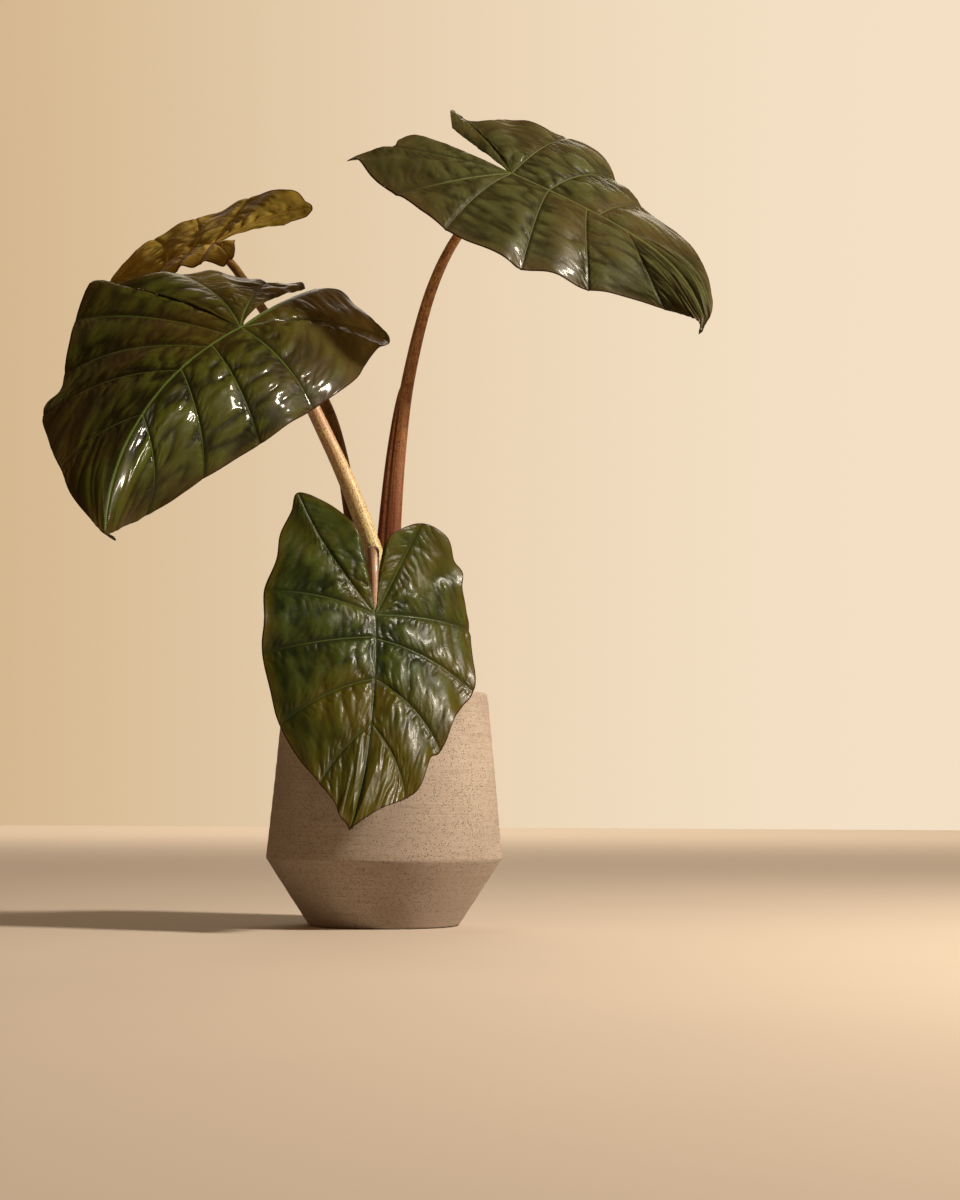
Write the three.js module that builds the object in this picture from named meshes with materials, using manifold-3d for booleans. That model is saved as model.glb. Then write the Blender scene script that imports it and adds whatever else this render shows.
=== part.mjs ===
// A potted alocasia: a stoneware planter, potting mix, a short stem base and four long-stalked leaves.
// Millimetres, +Z up. X runs right and Y runs back, away from the side that the plant is seen from.
// The origin is the centre of the pot's flat base.
import * as THREE from 'three';
import { mergeVertices } from 'three/addons/utils/BufferGeometryUtils.js';
import Module from 'manifold-3d';

const wasm = await Module();
wasm.setup();

// Planter: a low flared foot, a sharp shoulder and walls that lean in to the rim
const POT_HEIGHT = 245;
const BASE_RADIUS = 81;
const SHOULDER_RADIUS = 125;
const SHOULDER_HEIGHT = 70;
const RIM_RADIUS = 109;
const POT_WALL = 8;
const FLOOR_THICKNESS = 10;
const POT_SIDES = 64;

// Potting mix: its level is measured down from the rim
const SOIL_BELOW_RIM = 24;
const SOIL_LUMP_HEIGHT = 2.6;
const SOIL_SIDES = 40;

// Stem base: a rounded barrel, half of it above the soil
const CORM_RADIUS = 41;
const CORM_ABOVE_SOIL = 22;
const CORM_BELOW_SOIL = 34;
const CORM_SIDES = 24;

// Gap that pieces keep where they touch
const SEAT_GAP = 0.3;

// Blades: half-thickness at the margin and the depth of the rib under the midrib
const BLADE_HALF_THICKNESS = 0.5;
const RIB_DEPTH = 4.2;
const RIB_HALF_WIDTH = 4.5;
const RIB_END_LENGTH = 12;
const QUILT_HEIGHT = 2.6;
const QUILT_STEEPNESS = 0.07;
const MARGIN_WAVE = 3.2;
const LOBE_ROWS = 16;
const TIP_ROWS = 24;
const STEPS_ACROSS = [0, 0.05, 0.16, 0.34, 0.54, 0.73, 0.88, 1];

const SOIL_LEVEL = POT_HEIGHT - SOIL_BELOW_RIM;
const DEGREE = Math.PI / 180;

const materials = {
  stoneware: new THREE.MeshStandardMaterial({ name: 'stoneware', color: 0xb89d84, roughness: 0.85 }),
  soil: new THREE.MeshStandardMaterial({ name: 'soil', color: 0x2e2219, roughness: 1 }),
  corm: new THREE.MeshStandardMaterial({ name: 'corm', color: 0x5a4331, roughness: 0.9 }),
  redStalk: new THREE.MeshStandardMaterial({ name: 'red stalk', color: 0x7a4636, roughness: 0.45 }),
  greenStalk: new THREE.MeshStandardMaterial({ name: 'green stalk', color: 0xa08a52, roughness: 0.45 }),
  blade: new THREE.MeshStandardMaterial({ name: 'blade', color: 0x2c3a1c, roughness: 0.3 }),
  youngBlade: new THREE.MeshStandardMaterial({ name: 'young blade', color: 0x34481f, roughness: 0.28 }),
};

// Leaves. All four follow one plan. The midrib starts at the point where the stalk joins (at) and is
// length long. Its direction and the set of both halves are given at four stations: half a length
// behind that point, at it, half way to the tip and at the tip, in degrees.
//   pitch: how far the midrib points below level      yaw: its heading, seen from above
//   roll: tilt of the whole blade about the midrib    fold: slope of a half down from the midrib
//   curl: the further slope that a half gains towards its margin
// A half's margin lists points from the inner corner of its lobe round to the tip: millimetres along
// the midrib and out from it. The edge along the notch runs from the stalk to the first of them, bent
// by notchBow. A vein is [margin point, start on the midrib, bow].
const leaves = {
  front: {
    length: 233, at: [-7, -108, 320],
    pitch: [95, 74, 69, 58], yaw: [-71, -81, -101, -113], roll: [3, -12, -19, -23],
    left: {
      fold: [-3, 1, 5, 10], curl: [21, 21, 24, 28],
      margin: [[-72, 10], [-88, 20], [-100, 52], [-88, 79], [-66, 90], [-55, 102], [-35, 100],
        [-2, 116], [30, 114], [62, 112], [80, 99], [97, 86], [131, 76], [142, 64], [173, 57], [187, 46],
        [207, 22], [233, 0]],
      notchBow: 0.05,
      veins: [[2, 0, 0], [7, 0, 0.04], [9, 26, 0.1], [12, 70, 0.14], [15, 119, 0.12]],
    },
    right: {
      fold: [1, -6, -5, -2], curl: [22, 19, 21, 24],
      margin: [[-82, 14], [-100, 26], [-117, 50], [-126, 79], [-107, 86], [-84, 97], [-56, 102],
        [-21, 116], [19, 116], [53, 116], [95, 104], [132, 91], [169, 66], [194, 41], [212, 22],
        [225, 15], [233, 0]],
      notchBow: 0.03,
      veins: [[3, 0, -0.07], [7, 0, 0.08], [9, 24, 0.04], [11, 70, 0.14], [13, 119, 0.14]],
    },
  },
  left: {
    length: 320, at: [-151, -92, 621],
    pitch: [25, 30, 50, 70], yaw: [-112, -132, -126, -88], roll: [-10, -15, -17, -25],
    left: {
      fold: [25, 22, 38, 66], curl: [40, 50, 51, 46],
      margin: [[-140, -2], [-170, 17], [-166, 40], [-162, 63], [-172, 93], [-148, 96], [-127, 96],
        [-92, 106], [-56, 116], [6, 120], [50, 116], [98, 111], [143, 101], [181, 89], [250, 70],
        [291, 36], [320, 0]],
      notchBow: 0.08,
      veins: [[4, 0, 0.08], [9, 0, 0.04], [11, 46, 0.05], [13, 96, 0.08], [14, 170, 0.04]],
    },
    right: {
      fold: [-2, -11, 6, 34], curl: [-3, 0, 14, 27],
      margin: [[-138, 12], [-150, 22], [-142, 38], [-126, 54], [-136, 84], [-124, 109], [-109, 126],
        [-80, 142], [-32, 148], [2, 170], [10, 194], [29, 194], [58, 182], [89, 158], [111, 153],
        [147, 122], [165, 136], [204, 97], [238, 64], [269, 43], [303, 14], [320, 0]],
      notchBow: -0.22,
      veins: [[3, 0, -0.13], [7, 0, 0.065], [10, 0, 0.07], [12, 20, 0.06], [14, 51, 0.06], [16, 99, 0.11],
        [18, 170, 0.2]],
    },
  },
  back: {
    length: 222, at: [-208, 115, 762],
    pitch: [-11, 14, 32, 51], yaw: [179, 158, 151, 151], roll: [-44, -27, -39, -50],
    left: {
      fold: [5, -2, 0, 4], curl: [32, 28, 24, 21],
      margin: [[-34, 14], [-42, 44], [-42, 63], [-38, 74], [-27, 76], [-9, 73], [5, 76], [24, 69],
        [45, 64], [84, 74], [121, 66], [157, 54], [202, 30], [222, 0]],
      notchBow: 0,
      veins: [[2, 0, 0], [5, 0, 0.06], [7, 30, 0.12], [9, 65, 0.14], [11, 105, 0.14]],
    },
    right: {
      fold: [-28, -16, -23, -29], curl: [11, 8, 4, 11],
      margin: [[-85, 12], [-99, 19], [-109, 29], [-112, 38], [-103, 48], [-93, 61], [-77, 66],
        [-50, 86], [-23, 98], [4, 106], [27, 109], [43, 96], [67, 95], [88, 82], [112, 66], [147, 60],
        [195, 30], [222, 0]],
      notchBow: -0.03,
      veins: [[3, 0, -0.05], [8, 0, 0.06], [11, 30, 0.12], [13, 65, 0.14], [15, 105, 0.14]],
    },
  },
  right: {
    length: 298, at: [132, -21, 807],
    pitch: [30, 26, 35, 63], yaw: [-29, -8, -22, -65], roll: [26, 28, 22, 19],
    left: {
      fold: [-10, -20, -6, 8], curl: [24, 20, 23, 26],
      margin: [[-97, 34], [-131, 73], [-97, 66], [-72, 73], [-62, 103], [-41, 113], [-8, 122],
        [12, 144], [50, 144], [77, 126], [93, 101], [118, 86], [152, 78], [211, 43], [246, 27],
        [284, 10], [298, 0]],
      notchBow: 0,
      veins: [[1, 0, -0.11], [7, 0, 0.02], [9, 45, 0.06], [11, 107, 0.07], [13, 155, 0.14]],
    },
    right: {
      fold: [10, 5, 15, 27], curl: [26, 23, 25, 26],
      margin: [[-88, 2], [-114, 13], [-122, 30], [-118, 47], [-135, 71], [-140, 92], [-127, 90],
        [-104, 103], [-71, 122], [-12, 146], [38, 148], [69, 146], [88, 139], [122, 122], [152, 108],
        [181, 95], [216, 70], [261, 33], [287, 12], [298, 0]],
      notchBow: 0.06,
      veins: [[3, 0, -0.01], [8, 0, -0.03], [9, 0, 0.04], [12, 45, 0.08], [15, 92, 0.19],
        [17, 143, 0.17]],
    },
  },
};

// Stalks: points on the centre line from inside the stem base up to just short of the blade, with the
// radius at each and at the joint, and the sheath: how far up it reaches (share of the length), how far
// it stands out and to which side (heading in degrees).
const stalks = {
  front: {
    points: [[-15, -16, 215], [-18, -28, 290], [-17, -45, 350], [-13, -66, 384], [-11, -83, 388],
      [-10, -94, 371], [-9, -100, 346]],
    radii: [9, 8.4, 7.8, 7.2, 6.2, 5.2, 4.3, 3.6],
    sheath: { reach: 0.55, width: 3, side: 200 },
  },
  left: {
    points: [[16, -15, 215], [8, -22, 300], [-1, -27, 353], [-17, -32, 404], [-36, -38, 454], [-60, -48, 507],
      [-101, -68, 583], [-132, -82, 611]],
    radii: [11, 10.6, 10.2, 9.8, 9, 8, 6.8, 5.6, 4.8],
    sheath: { reach: 0.4, width: 4, side: 100 },
  },
  back: {
    points: [[-20, 14, 215], [-28, 20, 300], [-33, 30, 380], [-41, 39, 436], [-54, 50, 509], [-73, 62, 568],
      [-111, 76, 627], [-148, 90, 683], [-183, 104, 735]],
    radii: [9.5, 8.6, 8, 7.6, 7.2, 6.6, 6, 5.4, 5, 4.4],
    sheath: { reach: 0.5, width: 3, side: 80 },
  },
  right: {
    points: [[6, 12, 215], [2, 10, 330], [5, 7, 416], [12, 2, 515], [22, -2, 589], [46, -8, 683],
      [71, -12, 736], [101, -15, 773], [121, -18, 796]],
    radii: [12, 10.6, 9, 7.8, 6.8, 5.8, 5.2, 4.9, 4.7, 4.2],
    sheath: { reach: 0.58, width: 12, side: 195 },
  },
};

// Catmull-Rom value through evenly spaced numbers, at a place between 0 and the last index
function smoothValue(values, place) {
  const last = values.length - 1;
  const i = Math.min(Math.max(Math.floor(place), 0), last - 1);
  const f = Math.min(Math.max(place - i, 0), 1);
  const p1 = values[i];
  const p2 = values[i + 1];
  const p0 = i > 0 ? values[i - 1] : 2 * p1 - p2;
  const p3 = i + 2 <= last ? values[i + 2] : 2 * p2 - p1;
  return 0.5 * (2 * p1 + (p2 - p0) * f + (2 * p0 - 5 * p1 + 4 * p2 - p3) * f * f
    + (3 * p1 - p0 - 3 * p2 + p3) * f * f * f);
}

function station(leaf, u) {
  return Math.min(Math.max((u / leaf.length) * 2 + 1, 0), 3);
}

// Directions of the midrib at distance u: along it, out to the left, and up out of the blade
function midribAxes(leaf, u) {
  const place = station(leaf, u);
  const pitch = smoothValue(leaf.pitch, place) * DEGREE;
  const yaw = smoothValue(leaf.yaw, place) * DEGREE;
  const roll = smoothValue(leaf.roll, place) * DEGREE;
  const along = new THREE.Vector3(
    Math.cos(pitch) * Math.cos(yaw),
    Math.cos(pitch) * Math.sin(yaw),
    -Math.sin(pitch),
  );
  const level = new THREE.Vector3(-Math.sin(yaw), Math.cos(yaw), 0);
  const raised = new THREE.Vector3().crossVectors(along, level);
  const out = level.clone().multiplyScalar(Math.cos(roll)).addScaledVector(raised, Math.sin(roll));
  const up = raised.clone().multiplyScalar(Math.cos(roll)).addScaledVector(level, -Math.sin(roll));
  return { along, out, up };
}

// The midrib's line, summed in short steps both ways from the stalk
const MIDRIB_STEPS = 48;
function midribLine(leaf) {
  const step = leaf.length / MIDRIB_STEPS;
  const behind = Math.ceil(0.6 * MIDRIB_STEPS);
  const points = new Map([[0, new THREE.Vector3(...leaf.at)]]);
  for (const direction of [1, -1]) {
    const count = direction > 0 ? MIDRIB_STEPS : behind;
    for (let i = 1; i <= count; i += 1) {
      const previous = points.get(direction * (i - 1));
      const middle = midribAxes(leaf, direction * (i - 0.5) * step).along;
      points.set(direction * i, previous.clone().addScaledVector(middle, direction * step));
    }
  }
  return (u) => {
    const place = Math.min(Math.max(u / step, -behind), MIDRIB_STEPS);
    const low = Math.min(Math.floor(place), MIDRIB_STEPS - 1);
    return points.get(low).clone().lerp(points.get(low + 1), place - low);
  };
}

// A point of the bent blade, u along the midrib and v out from it, with the direction out of its surface
function bladePoint(leaf, line, half, side, u, v) {
  const place = station(leaf, u);
  const reference = leaf.length / 2;
  const fold = smoothValue(half.fold, place) * DEGREE;
  const curl = smoothValue(half.curl, place) * DEGREE || 1e-4;
  const slope = fold + (curl * v) / reference;
  const across = (reference / curl) * (Math.sin(slope) - Math.sin(fold));
  const drop = (-reference / curl) * (Math.cos(slope) - Math.cos(fold));
  const { out, up } = midribAxes(leaf, u);
  const point = line(u).addScaledVector(out, side * across).addScaledVector(up, -drop);
  const normal = up.clone().multiplyScalar(Math.cos(slope)).addScaledVector(out, side * Math.sin(slope));
  return { point, normal };
}

// Side veins of a half with the notch and the tip added as the first and last
function veinKnots(half) {
  const last = half.margin.length - 1;
  const tipBow = half.veins[half.veins.length - 1][2];
  return [[0, 0, half.notchBow], ...half.veins, [last, half.margin[last][0], tipBow]];
}

// Value in one column of the veins, for what another column says, in a straight line between veins
function betweenVeins(half, value, from, to) {
  const knots = veinKnots(half);
  let i = knots.length - 2;
  while (i > 0 && value < knots[i][from]) i -= 1;
  const share = (value - knots[i][from]) / (knots[i + 1][from] - knots[i][from]);
  return knots[i][to] + share * (knots[i + 1][to] - knots[i][to]);
}

// Margin places of a half's rows: round the lobe first, where all rows start at the stalk, and then
// by equal steps along the midrib, so that both halves share their points there
function rowPlaces(half, length) {
  const lobeEnd = half.veins.filter((vein) => vein[1] === 0).pop()[0];
  const places = [];
  for (let i = 0; i < LOBE_ROWS; i += 1) places.push((lobeEnd * i) / LOBE_ROWS);
  for (let i = 0; i <= TIP_ROWS; i += 1) {
    places.push(i === 0 ? lobeEnd : betweenVeins(half, (length * i) / TIP_ROWS, 1, 0));
  }
  return places;
}

// Flat place on a half: place runs along the margin and t from the midrib (0) to the margin (1),
// on lines that leave the midrib as the side veins do
function flatPlace(half, place, t) {
  const edgeU = smoothValue(half.margin.map((p) => p[0]), place);
  const edgeV = smoothValue(half.margin.map((p) => p[1]), place);
  const start = betweenVeins(half, place, 0, 1);
  const bow = betweenVeins(half, place, 0, 2);
  const run = edgeU - start;
  const middleU = start + run / 2 - edgeV * bow;
  const middleV = edgeV / 2 + run * bow;
  const u = (1 - t) ** 2 * start + 2 * t * (1 - t) * middleU + t * t * edgeU;
  const v = 2 * t * (1 - t) * middleV + t * t * edgeV;
  return { u, v };
}

// Height of the quilted swelling between two neighbouring side veins: nothing on the veins and the
// midrib, less where the veins run close together and less at the margin
function quiltHeight(half, place, t) {
  const knots = veinKnots(half).map((knot) => knot[0]);
  let i = 0;
  while (i < knots.length - 2 && place > knots[i + 1]) i += 1;
  const share = (place - knots[i]) / (knots[i + 1] - knots[i]);
  const near = flatPlace(half, knots[i], t);
  const far = flatPlace(half, knots[i + 1], t);
  const gap = Math.hypot(far.u - near.u, far.v - near.v);
  const width = Math.min(t * 4, 1) * (1 - 0.55 * t);
  return Math.min(QUILT_HEIGHT, QUILT_STEEPNESS * gap) * Math.sin(Math.PI * share) * width;
}

// The margin's slow wave, which dies out towards the midrib, the notch and the tip
function marginWave(half, place, t) {
  const waves = half.veins.length + 1.5;
  const s = place / (half.margin.length - 1);
  return MARGIN_WAVE * Math.sin(2 * Math.PI * waves * s) * t ** 3 * Math.sin(Math.PI * s) ** 0.5;
}

// One closed blade, its two faces split into the same triangles. grow thickens it all round.
function bladeGeometry(leaf, grow = 0) {
  const line = midribLine(leaf);
  const positions = [];
  const triangles = [];
  const columns = STEPS_ACROSS.length;
  for (const side of [1, -1]) {
    const half = side > 0 ? leaf.left : leaf.right;
    const places = rowPlaces(half, leaf.length);
    const upper = [];
    const lower = [];
    for (const place of places) {
      for (const t of STEPS_ACROSS) {
        const { u, v } = flatPlace(half, place, t);
        const { point, normal } = bladePoint(leaf, line, half, side, u, v);
        const nearMidrib = Math.exp(-((v / RIB_HALF_WIDTH) ** 2));
        normal.lerp(midribAxes(leaf, u).up, nearMidrib).normalize();
        const lift = quiltHeight(half, place, t) + marginWave(half, place, t);
        const taper = 1 - 0.75 * Math.max(u / leaf.length, 0);
        const rib = RIB_DEPTH * taper * nearMidrib * Math.exp(Math.min(u, 0) / RIB_END_LENGTH);
        const top = point.clone().addScaledVector(normal, lift + BLADE_HALF_THICKNESS + grow);
        const bottom = point.clone().addScaledVector(normal, lift - BLADE_HALF_THICKNESS - rib - grow);
        upper.push(positions.push(top) - 1);
        lower.push(positions.push(bottom) - 1);
      }
    }
    const turn = (a, b, c) => (side > 0 ? triangles.push([a, b, c]) : triangles.push([a, c, b]));
    for (let i = 0; i < places.length - 1; i += 1) {
      for (let j = 0; j < columns - 1; j += 1) {
        const a = i * columns + j;
        const b = a + 1;
        const c = a + columns;
        const d = c + 1;
        turn(upper[a], upper[c], upper[d]);
        turn(upper[a], upper[d], upper[b]);
        turn(lower[a], lower[d], lower[c]);
        turn(lower[a], lower[b], lower[d]);
      }
      const edge = i * columns + columns - 1;
      turn(upper[edge], upper[edge + columns], lower[edge + columns]);
      turn(upper[edge], lower[edge + columns], lower[edge]);
    }
    for (let j = 0; j < columns - 1; j += 1) {
      turn(upper[j], upper[j + 1], lower[j + 1]);
      turn(upper[j], lower[j + 1], lower[j]);
    }
  }
  return weld(positions, triangles);
}

// Joins points that coincide and drops triangles that have closed up
function weld(positions, triangles) {
  const precision = 1000;
  const seen = new Map();
  const merged = [];
  const index = positions.map((p) => {
    const key = [p.x, p.y, p.z].map((value) => Math.round(value * precision)).join();
    if (!seen.has(key)) {
      seen.set(key, merged.length / 3);
      merged.push(p.x, p.y, p.z);
    }
    return seen.get(key);
  });
  const kept = [];
  for (const [a, b, c] of triangles) {
    const corners = [index[a], index[b], index[c]];
    if (new Set(corners).size === 3) kept.push(...corners);
  }
  const geometry = new THREE.BufferGeometry();
  geometry.setAttribute('position', new THREE.Float32BufferAttribute(merged, 3));
  geometry.setIndex(kept);
  return geometry;
}

// One closed stalk: rings along a smooth curve, round with a sheath standing out of the lower part
const STALK_SIDES = 12;
const STALK_STEPS = 30;
const SHEATH_START = 0.12;
// The stalk ends inside the rib under the blade, this far below the upper face
const JOINT_DEPTH = 3;
function stalkGeometry(stalk, leaf) {
  const joint = new THREE.Vector3(...leaf.at).addScaledVector(midribAxes(leaf, 0).up, -JOINT_DEPTH);
  const points = [...stalk.points.map((p) => new THREE.Vector3(...p)), joint];
  const curve = new THREE.CatmullRomCurve3(points, false, 'centripetal');
  const frames = curve.computeFrenetFrames(STALK_STEPS, false);
  const positions = [];
  const triangles = [];
  for (let i = 0; i <= STALK_STEPS; i += 1) {
    const share = i / STALK_STEPS;
    const centre = curve.getPointAt(share);
    const radius = smoothValue(stalk.radii, curve.getUtoTmapping(share) * (stalk.radii.length - 1));
    const sheathFoot = Math.min(1, (share / SHEATH_START) ** 2);
    const sheathShare = Math.max(0, 1 - share / stalk.sheath.reach) * sheathFoot;
    const tangent = curve.getTangentAt(share);
    const sheathAngle = stalk.sheath.side * DEGREE;
    const heading = new THREE.Vector3(Math.cos(sheathAngle), Math.sin(sheathAngle), 0);
    const outward = heading.addScaledVector(tangent, -heading.dot(tangent)).normalize();
    for (let k = 0; k < STALK_SIDES; k += 1) {
      const angle = (2 * Math.PI * k) / STALK_SIDES;
      const direction = frames.normals[i].clone().multiplyScalar(Math.cos(angle))
        .addScaledVector(frames.binormals[i], Math.sin(angle));
      const facing = Math.max(direction.dot(outward), 0);
      const reach = radius + stalk.sheath.width * Math.sqrt(sheathShare) * facing ** 3;
      positions.push(centre.clone().addScaledVector(direction, reach));
    }
  }
  const start = positions.push(curve.getPointAt(0)) - 1;
  const end = positions.push(curve.getPointAt(1)) - 1;
  for (let i = 0; i < STALK_STEPS; i += 1) {
    for (let k = 0; k < STALK_SIDES; k += 1) {
      const next = (k + 1) % STALK_SIDES;
      const a = i * STALK_SIDES + k;
      const b = i * STALK_SIDES + next;
      const c = a + STALK_SIDES;
      const d = b + STALK_SIDES;
      triangles.push([a, b, d], [a, d, c]);
    }
  }
  const top = STALK_STEPS * STALK_SIDES;
  for (let k = 0; k < STALK_SIDES; k += 1) {
    const next = (k + 1) % STALK_SIDES;
    triangles.push([start, next, k]);
    triangles.push([end, top + k, top + next]);
  }
  return weld(positions, triangles);
}

function lathe(profile, sides) {
  return new THREE.LatheGeometry(profile.map(([radius, height]) => new THREE.Vector2(radius, height)), sides)
    .rotateX(Math.PI / 2);
}

function potGeometry() {
  const innerShoulder = SHOULDER_RADIUS - POT_WALL;
  const innerRim = RIM_RADIUS - POT_WALL;
  return lathe([
    [0, 0], [BASE_RADIUS - 4, 0], [BASE_RADIUS, 3],
    [SHOULDER_RADIUS - 1.5, SHOULDER_HEIGHT - 3], [SHOULDER_RADIUS, SHOULDER_HEIGHT],
    [SHOULDER_RADIUS - 0.9, SHOULDER_HEIGHT + 4],
    [RIM_RADIUS, POT_HEIGHT - 3], [RIM_RADIUS - 2, POT_HEIGHT],
    [innerRim + 2, POT_HEIGHT], [innerRim, POT_HEIGHT - 3],
    [innerShoulder, SHOULDER_HEIGHT], [BASE_RADIUS - POT_WALL, FLOOR_THICKNESS], [0, FLOOR_THICKNESS],
  ], POT_SIDES);
}

// Radius of the pot's inner wall at a height above its shoulder
function innerRadius(height) {
  const share = (height - SHOULDER_HEIGHT) / (POT_HEIGHT - 3 - SHOULDER_HEIGHT);
  return SHOULDER_RADIUS - POT_WALL + share * (RIM_RADIUS - SHOULDER_RADIUS);
}

function soilLump(x, y) {
  const small = Math.sin(x / 9 + 1.3) * Math.cos(y / 11);
  const large = Math.sin((x + 2 * y) / 17);
  return SOIL_LUMP_HEIGHT * 0.5 * (small + large);
}

// Potting mix with a lumpy top, lower at the wall, as far as the wall's inside
function soilGeometry() {
  const wall = innerRadius(SOIL_LEVEL) - 1;
  const floor = FLOOR_THICKNESS + SEAT_GAP;
  const rings = [0.16, 0.3, 0.44, 0.58, 0.72, 0.86, 1];
  const top = rings.map((share) => [share * wall, SOIL_LEVEL]);
  const profile = [
    [0, floor], [BASE_RADIUS - POT_WALL - 1, floor], [SHOULDER_RADIUS - POT_WALL - 1.5, SHOULDER_HEIGHT],
    ...top.reverse(), [0, SOIL_LEVEL],
  ];
  const geometry = lathe(profile, SOIL_SIDES);
  const place = geometry.getAttribute('position');
  for (let i = 0; i < place.count; i += 1) {
    const x = place.getX(i);
    const y = place.getY(i);
    const radius = Math.hypot(x, y);
    if (place.getZ(i) > SOIL_LEVEL - 1) {
      place.setZ(i, SOIL_LEVEL + soilLump(x, y) - 3 * (radius / wall) ** 4);
    }
  }
  return geometry;
}

// Stem base: a barrel with low rings, the scars of older stalks
function cormGeometry(grow = 0) {
  const profile = [];
  const steps = 12;
  const ringDepth = 1.2;
  const rings = 4;
  for (let i = 0; i <= steps; i += 1) {
    const share = i / steps;
    const angle = (share - 0.5) * Math.PI;
    const height = SOIL_LEVEL - CORM_BELOW_SOIL + share * (CORM_ABOVE_SOIL + CORM_BELOW_SOIL);
    const bulge = Math.cos(angle) ** 0.6;
    const scar = ringDepth * Math.sin(share * rings * 2 * Math.PI) * Math.cos(angle);
    const radius = i === 0 || i === steps ? 0 : CORM_RADIUS * bulge + scar + grow;
    const stretch = grow * Math.sin(angle);
    profile.push([Math.max(radius, 0), height + stretch]);
  }
  return lathe(profile, CORM_SIDES);
}

function toSolid(geometry) {
  const bare = geometry.clone();
  bare.deleteAttribute('normal');
  bare.deleteAttribute('uv');
  const merged = mergeVertices(bare, 1e-4);
  const triVerts = [];
  const index = merged.getIndex().array;
  for (let i = 0; i < index.length; i += 3) {
    const [a, b, c] = [index[i], index[i + 1], index[i + 2]];
    if (a !== b && b !== c && c !== a) triVerts.push(a, b, c);
  }
  const vertProperties = Float32Array.from(merged.getAttribute('position').array);
  const mesh = new wasm.Mesh({ numProp: 3, vertProperties, triVerts: Uint32Array.from(triVerts) });
  return new wasm.Manifold(mesh);
}

function toGeometry(solid) {
  const mesh = solid.getMesh();
  const geometry = new THREE.BufferGeometry();
  geometry.setAttribute('position', new THREE.BufferAttribute(mesh.vertProperties, 3));
  geometry.setIndex(new THREE.BufferAttribute(mesh.triVerts, 1));
  return geometry;
}

// The largest of the separate bodies that a cut leaves, without its smallest edges
const EDGE_TOLERANCE = 0.02;
function largestBody(solid) {
  const largest = solid.decompose().reduce((best, body) => (body.volume() > best.volume() ? body : best));
  return largest.simplify(EDGE_TOLERANCE);
}

function addMesh(group, name, geometry, material) {
  const mesh = new THREE.Mesh(geometry, material);
  mesh.name = name;
  group.add(mesh);
  return mesh;
}

const plant = new THREE.Group();
addMesh(plant, 'pot', potGeometry(), materials.stoneware);
addMesh(plant, 'corm', toGeometry(toSolid(cormGeometry())), materials.corm);
const grownCorm = toSolid(cormGeometry(SEAT_GAP));
addMesh(plant, 'soil', toGeometry(largestBody(toSolid(soilGeometry()).subtract(grownCorm))), materials.soil);

const bladeMaterials = {
  front: materials.youngBlade,
  left: materials.blade,
  back: materials.blade,
  right: materials.blade,
};
const stalkMaterials = {
  front: materials.redStalk,
  left: materials.greenStalk,
  back: materials.redStalk,
  right: materials.redStalk,
};
for (const [name, leaf] of Object.entries(leaves)) {
  addMesh(plant, `${name}_blade`, bladeGeometry(leaf), bladeMaterials[name]);
  let stalk = toSolid(stalkGeometry(stalks[name], leaf)).subtract(grownCorm);
  const grownBlade = toSolid(bladeGeometry(leaf, SEAT_GAP));
  for (const shift of [[1, 0, 0], [-1, 0, 0], [0, 1, 0], [0, -1, 0]]) {
    stalk = stalk.subtract(grownBlade.translate(shift.map((part) => part * SEAT_GAP)));
  }
  addMesh(plant, `${name}_stalk`, toGeometry(largestBody(stalk)), stalkMaterials[name]);
}

export default plant;
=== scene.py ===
# %% [markdown]
# A potted alocasia, from the frame to the finished picture.
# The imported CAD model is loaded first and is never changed. Each visible piece is then modelled on the
# place of its CAD node, in metres, with the same centre: the middle of the pot's flat base.
# X runs to the right, Y away from the camera and Z up.

# %% Load the frame
import math
import random

import bpy
import numpy as np
from mathutils import Matrix, Vector, noise


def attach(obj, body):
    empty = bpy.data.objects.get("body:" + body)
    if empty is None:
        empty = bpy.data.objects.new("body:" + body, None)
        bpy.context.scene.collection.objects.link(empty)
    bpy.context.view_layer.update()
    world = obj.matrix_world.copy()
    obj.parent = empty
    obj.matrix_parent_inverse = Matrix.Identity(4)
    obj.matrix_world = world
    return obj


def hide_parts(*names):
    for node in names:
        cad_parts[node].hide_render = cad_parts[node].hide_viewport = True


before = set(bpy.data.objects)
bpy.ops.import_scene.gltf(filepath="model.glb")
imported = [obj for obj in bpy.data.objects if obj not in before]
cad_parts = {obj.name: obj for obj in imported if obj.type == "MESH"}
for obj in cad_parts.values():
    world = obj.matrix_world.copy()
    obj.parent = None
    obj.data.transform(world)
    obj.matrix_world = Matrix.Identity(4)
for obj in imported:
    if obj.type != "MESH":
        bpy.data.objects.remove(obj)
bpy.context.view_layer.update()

# %% [markdown]
# Three small habits are used for every piece. Nothing is selected before a new primitive is added,
# because the frame leaves its nodes selected. Sizes are thought of in millimetres, as a maker would,
# and turned into metres when they reach Blender. At the end a piece's transforms are applied, it is
# named, smoothed and hung on the body it rides on, and the CAD node it stands for is hidden; its finish
# is added just before.

# %% Shared habits
MM = 0.001


def start_fresh():
    if bpy.context.mode != "OBJECT":
        bpy.ops.object.mode_set(mode="OBJECT")
    bpy.ops.object.select_all(action="DESELECT")


def activate(piece):
    start_fresh()
    piece.select_set(True)
    bpy.context.view_layer.objects.active = piece


def settle(piece, name, node):
    activate(piece)
    bpy.ops.object.transform_apply(location=True, rotation=True, scale=True)
    piece.name = name
    piece.data.name = name
    bpy.ops.object.shade_smooth()
    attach(piece, "root")
    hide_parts(node)
    print(name, "stands for", node, "with", len(piece.data.polygons), "faces")


def vertex_places(piece):
    flat = np.empty(len(piece.data.vertices) * 3)
    piece.data.vertices.foreach_get("co", flat)
    return flat.reshape(-1, 3)


def move_vertices(piece, places):
    piece.data.vertices.foreach_set("co", np.asarray(places, float).ravel())
    piece.data.update()


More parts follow.
